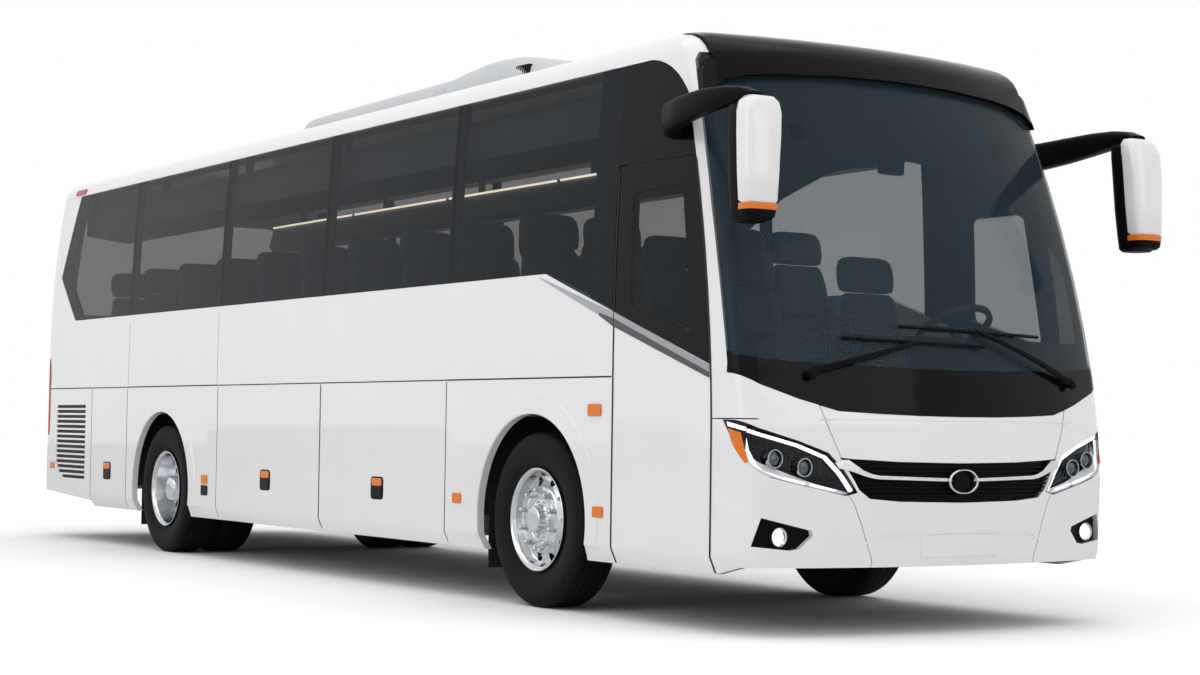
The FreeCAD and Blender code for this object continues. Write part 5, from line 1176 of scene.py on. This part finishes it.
# Roof air conditioner
# A low fibreglass pod bolted to the roof: a long flat cover behind and a domed cover ahead, with a joint
# between them and a dark slotted intake low on each side of the dome. Two banks of dark slots lie in the
# flat cover. The slots are black blocks set in the covers, which paint the shade inside them.
pod_foot_z = 3.188
# Half of the pod's cross section, from foot to middle, as shares of its half width and height.
pod_half = ((1.0, 0.0), (1.0, 0.3), (0.992, 0.55), (0.97, 0.76), (0.93, 0.9), (0.86, 0.965), (0.6, 0.988),
            (0.3, 0.998), (0.0, 1.0))


def pod(sections):
    """A cover through cross sections, each from its station, half width and top."""
    loops = []
    for y, wide, top in sections:
        half = [(wide * u, y, pod_foot_z + (top - pod_foot_z) * v) for u, v in pod_half]
        loops.append(half + [(-x, y, z) for x, y, z in half[-2::-1]])
    return lofted(loops)


rear_cover = pod((
    (0.93, 0.8, 3.232), (0.89, 0.85, 3.252), (0.84, 0.88, 3.276), (0.78, 0.897, 3.3), (0.68, 0.903, 3.312),
    (-0.446, 0.905, 3.322), (-1.372, 0.905, 3.328), (-1.384, 0.902, 3.325)))
dome = pod((
    (-1.39, 0.902, 3.326), (-1.4, 0.905, 3.33), (-1.52, 0.902, 3.346), (-1.68, 0.9, 3.366),
    (-1.86, 0.896, 3.381), (-2.02, 0.89, 3.386), (-2.18, 0.88, 3.38), (-2.32, 0.866, 3.358),
    (-2.44, 0.846, 3.324), (-2.54, 0.82, 3.284), (-2.62, 0.78, 3.246), (-2.67, 0.73, 3.22),
    (-2.698, 0.66, 3.202)))
# White gelcoat off the mould, duller than the enamel, so the pod reads a little greyer than the roof.
white_gelcoat = finish("white gelcoat", "#CDD0D4", "#D3D6DA", 0.38, 300.0, spread=0.04, sheen=0.3)
for name, cover in (("rear_cover", rear_cover), ("dome", dome)):
    piece = link("roof_pod_" + name, cover, white_gelcoat, smooth=0.7)
    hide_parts("roof_ac_unit")
# Black blocks in the covers stand for the slots and paint the shade inside them.
slots = []
for side in (-1.0, 1.0):
    slots += [block((0.06, 0.013, 0.06), (side * (0.829 + 0.0012 * k), -2.4 + 0.022 * k, 3.262))
              for k in range(7)]
    slots += [block((0.3, 0.014, 0.02), (side * x, -0.3 + 0.03 * k, z))
              for x, z in ((0.22, 3.3105), (0.62, 3.3045)) for k in range(10)]
link("roof_pod_intakes", joined(slots), latch_black)

# Aerial and roof hatches
# A small black aerial fin on the brow, and two white escape hatches, one ahead of the pod and one behind it.
# Each is moulded, hinged to the roof and closes on a rubber seal.
fin_levels = ((3.205, 0.022, 0.06), (3.222, 0.018, 0.05), (3.232, 0.01, 0.03))
fin = lofted([oval(0.0, -4.2, z, a, b, 16, 0.8) for z, a, b in fin_levels])
link("roof_aerial", fin, latch_black, smooth=0.8)
hatch_half = 0.34
hatch_steps = ((1.0, 3.222), (1.0, 3.244), (0.975, 3.252), (0.9, 3.256))
seal_steps = ((1.04, 3.218), (1.04, 3.232), (1.01, 3.236))
for name, y in (("front", -3.3), ("rear", 2.6)):
    hatch, seal = [lofted([[(u * hatch_half * w, y + v * hatch_half * w, h) for u, v in rounded(28, 0.25)]
                           for w, h in steps]) for steps in (hatch_steps, seal_steps)]
    link("roof_hatch_" + name, hatch, white_enamel, smooth=0.7)
    link("roof_hatch_seal_" + name, seal, seal_rubber, smooth=0.7)

# Engine lid and tail trim
# The lid is a white steel pressing with two banks of slots over a black backing, a blank plate let into a
# shallow pocket and a cupped black handle. The black backing at the floor of the slots paints the shade
# inside them. Red reflectors are let into the bumper below it.
lid_face_y = 5.54
bank_x = 0.42
plate_z = 1.42
handle_z = 0.72


def pocket(x, z, wide, high, deep, corner=0.25, face=lid_face_y, proud=0.01):
    """A rounded block that enters the tail by its depth, to cut a pocket or to fill one."""
    loop = [(x + u * (wide / 2), z + v * (high / 2)) for u, v in rounded(20, corner)]
    return lofted([[(u, face - deep, v) for u, v in loop], [(u, face + proud, v) for u, v in loop]])


pockets = [pocket(0.0, plate_z, 0.56, 0.15, 0.005, 0.12), pocket(0.0, handle_z, 0.2, 0.07, 0.022, 0.3)]
for k in range(9):
    for x in (-bank_x, bank_x):
        pockets.append(pocket(x, 0.905 + 0.038 * k, 0.56, 0.018, 0.015, 0.3))
lid = link("engine_lid_finished", carved(merged("engine_lid"), joined(pockets)), white_enamel, "engine_cover",
           bevel=0.0025)
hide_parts("engine_lid")
# Black blocks at the floor of the slot banks paint the shade in the slots; two more fill the handle's cup.
behind = [pocket(x, 1.057, 0.6, 0.36, 0.018, 0.1, proud=-0.014) for x in (-bank_x, bank_x)]
behind.append(pocket(0.0, handle_z, 0.196, 0.066, 0.0215, 0.3, proud=-0.019))
behind.append(pocket(0.0, 0.735, 0.15, 0.022, 0.02, 0.3, proud=-0.001))
link("engine_lid_backing_and_shade", joined(behind), latch_black, "engine_cover")
blank = pocket(0.0, plate_z, 0.53, 0.12, 0.0048, 0.12, proud=-0.0015)
link("engine_lid_plate", blank, white_enamel, "engine_cover", bevel=0.001)
tail_skin = skin_of("rear_panel")
reflectors = []
for x in (-0.86, 0.86):
    face = min(met(tail_skin, (x, far_off, 0.56), (0.0, -1.0, 0.0)).y, 5.5365)
    reflectors.append(pocket(x, 0.56, 0.16, 0.045, 0.006, 0.25, face, 0.003))
# The reflectors share the red acrylic's faint painted glow, though they are no lamps.
link("rear_reflectors", joined(reflectors), red_glow_acrylic, bevel=0.001)
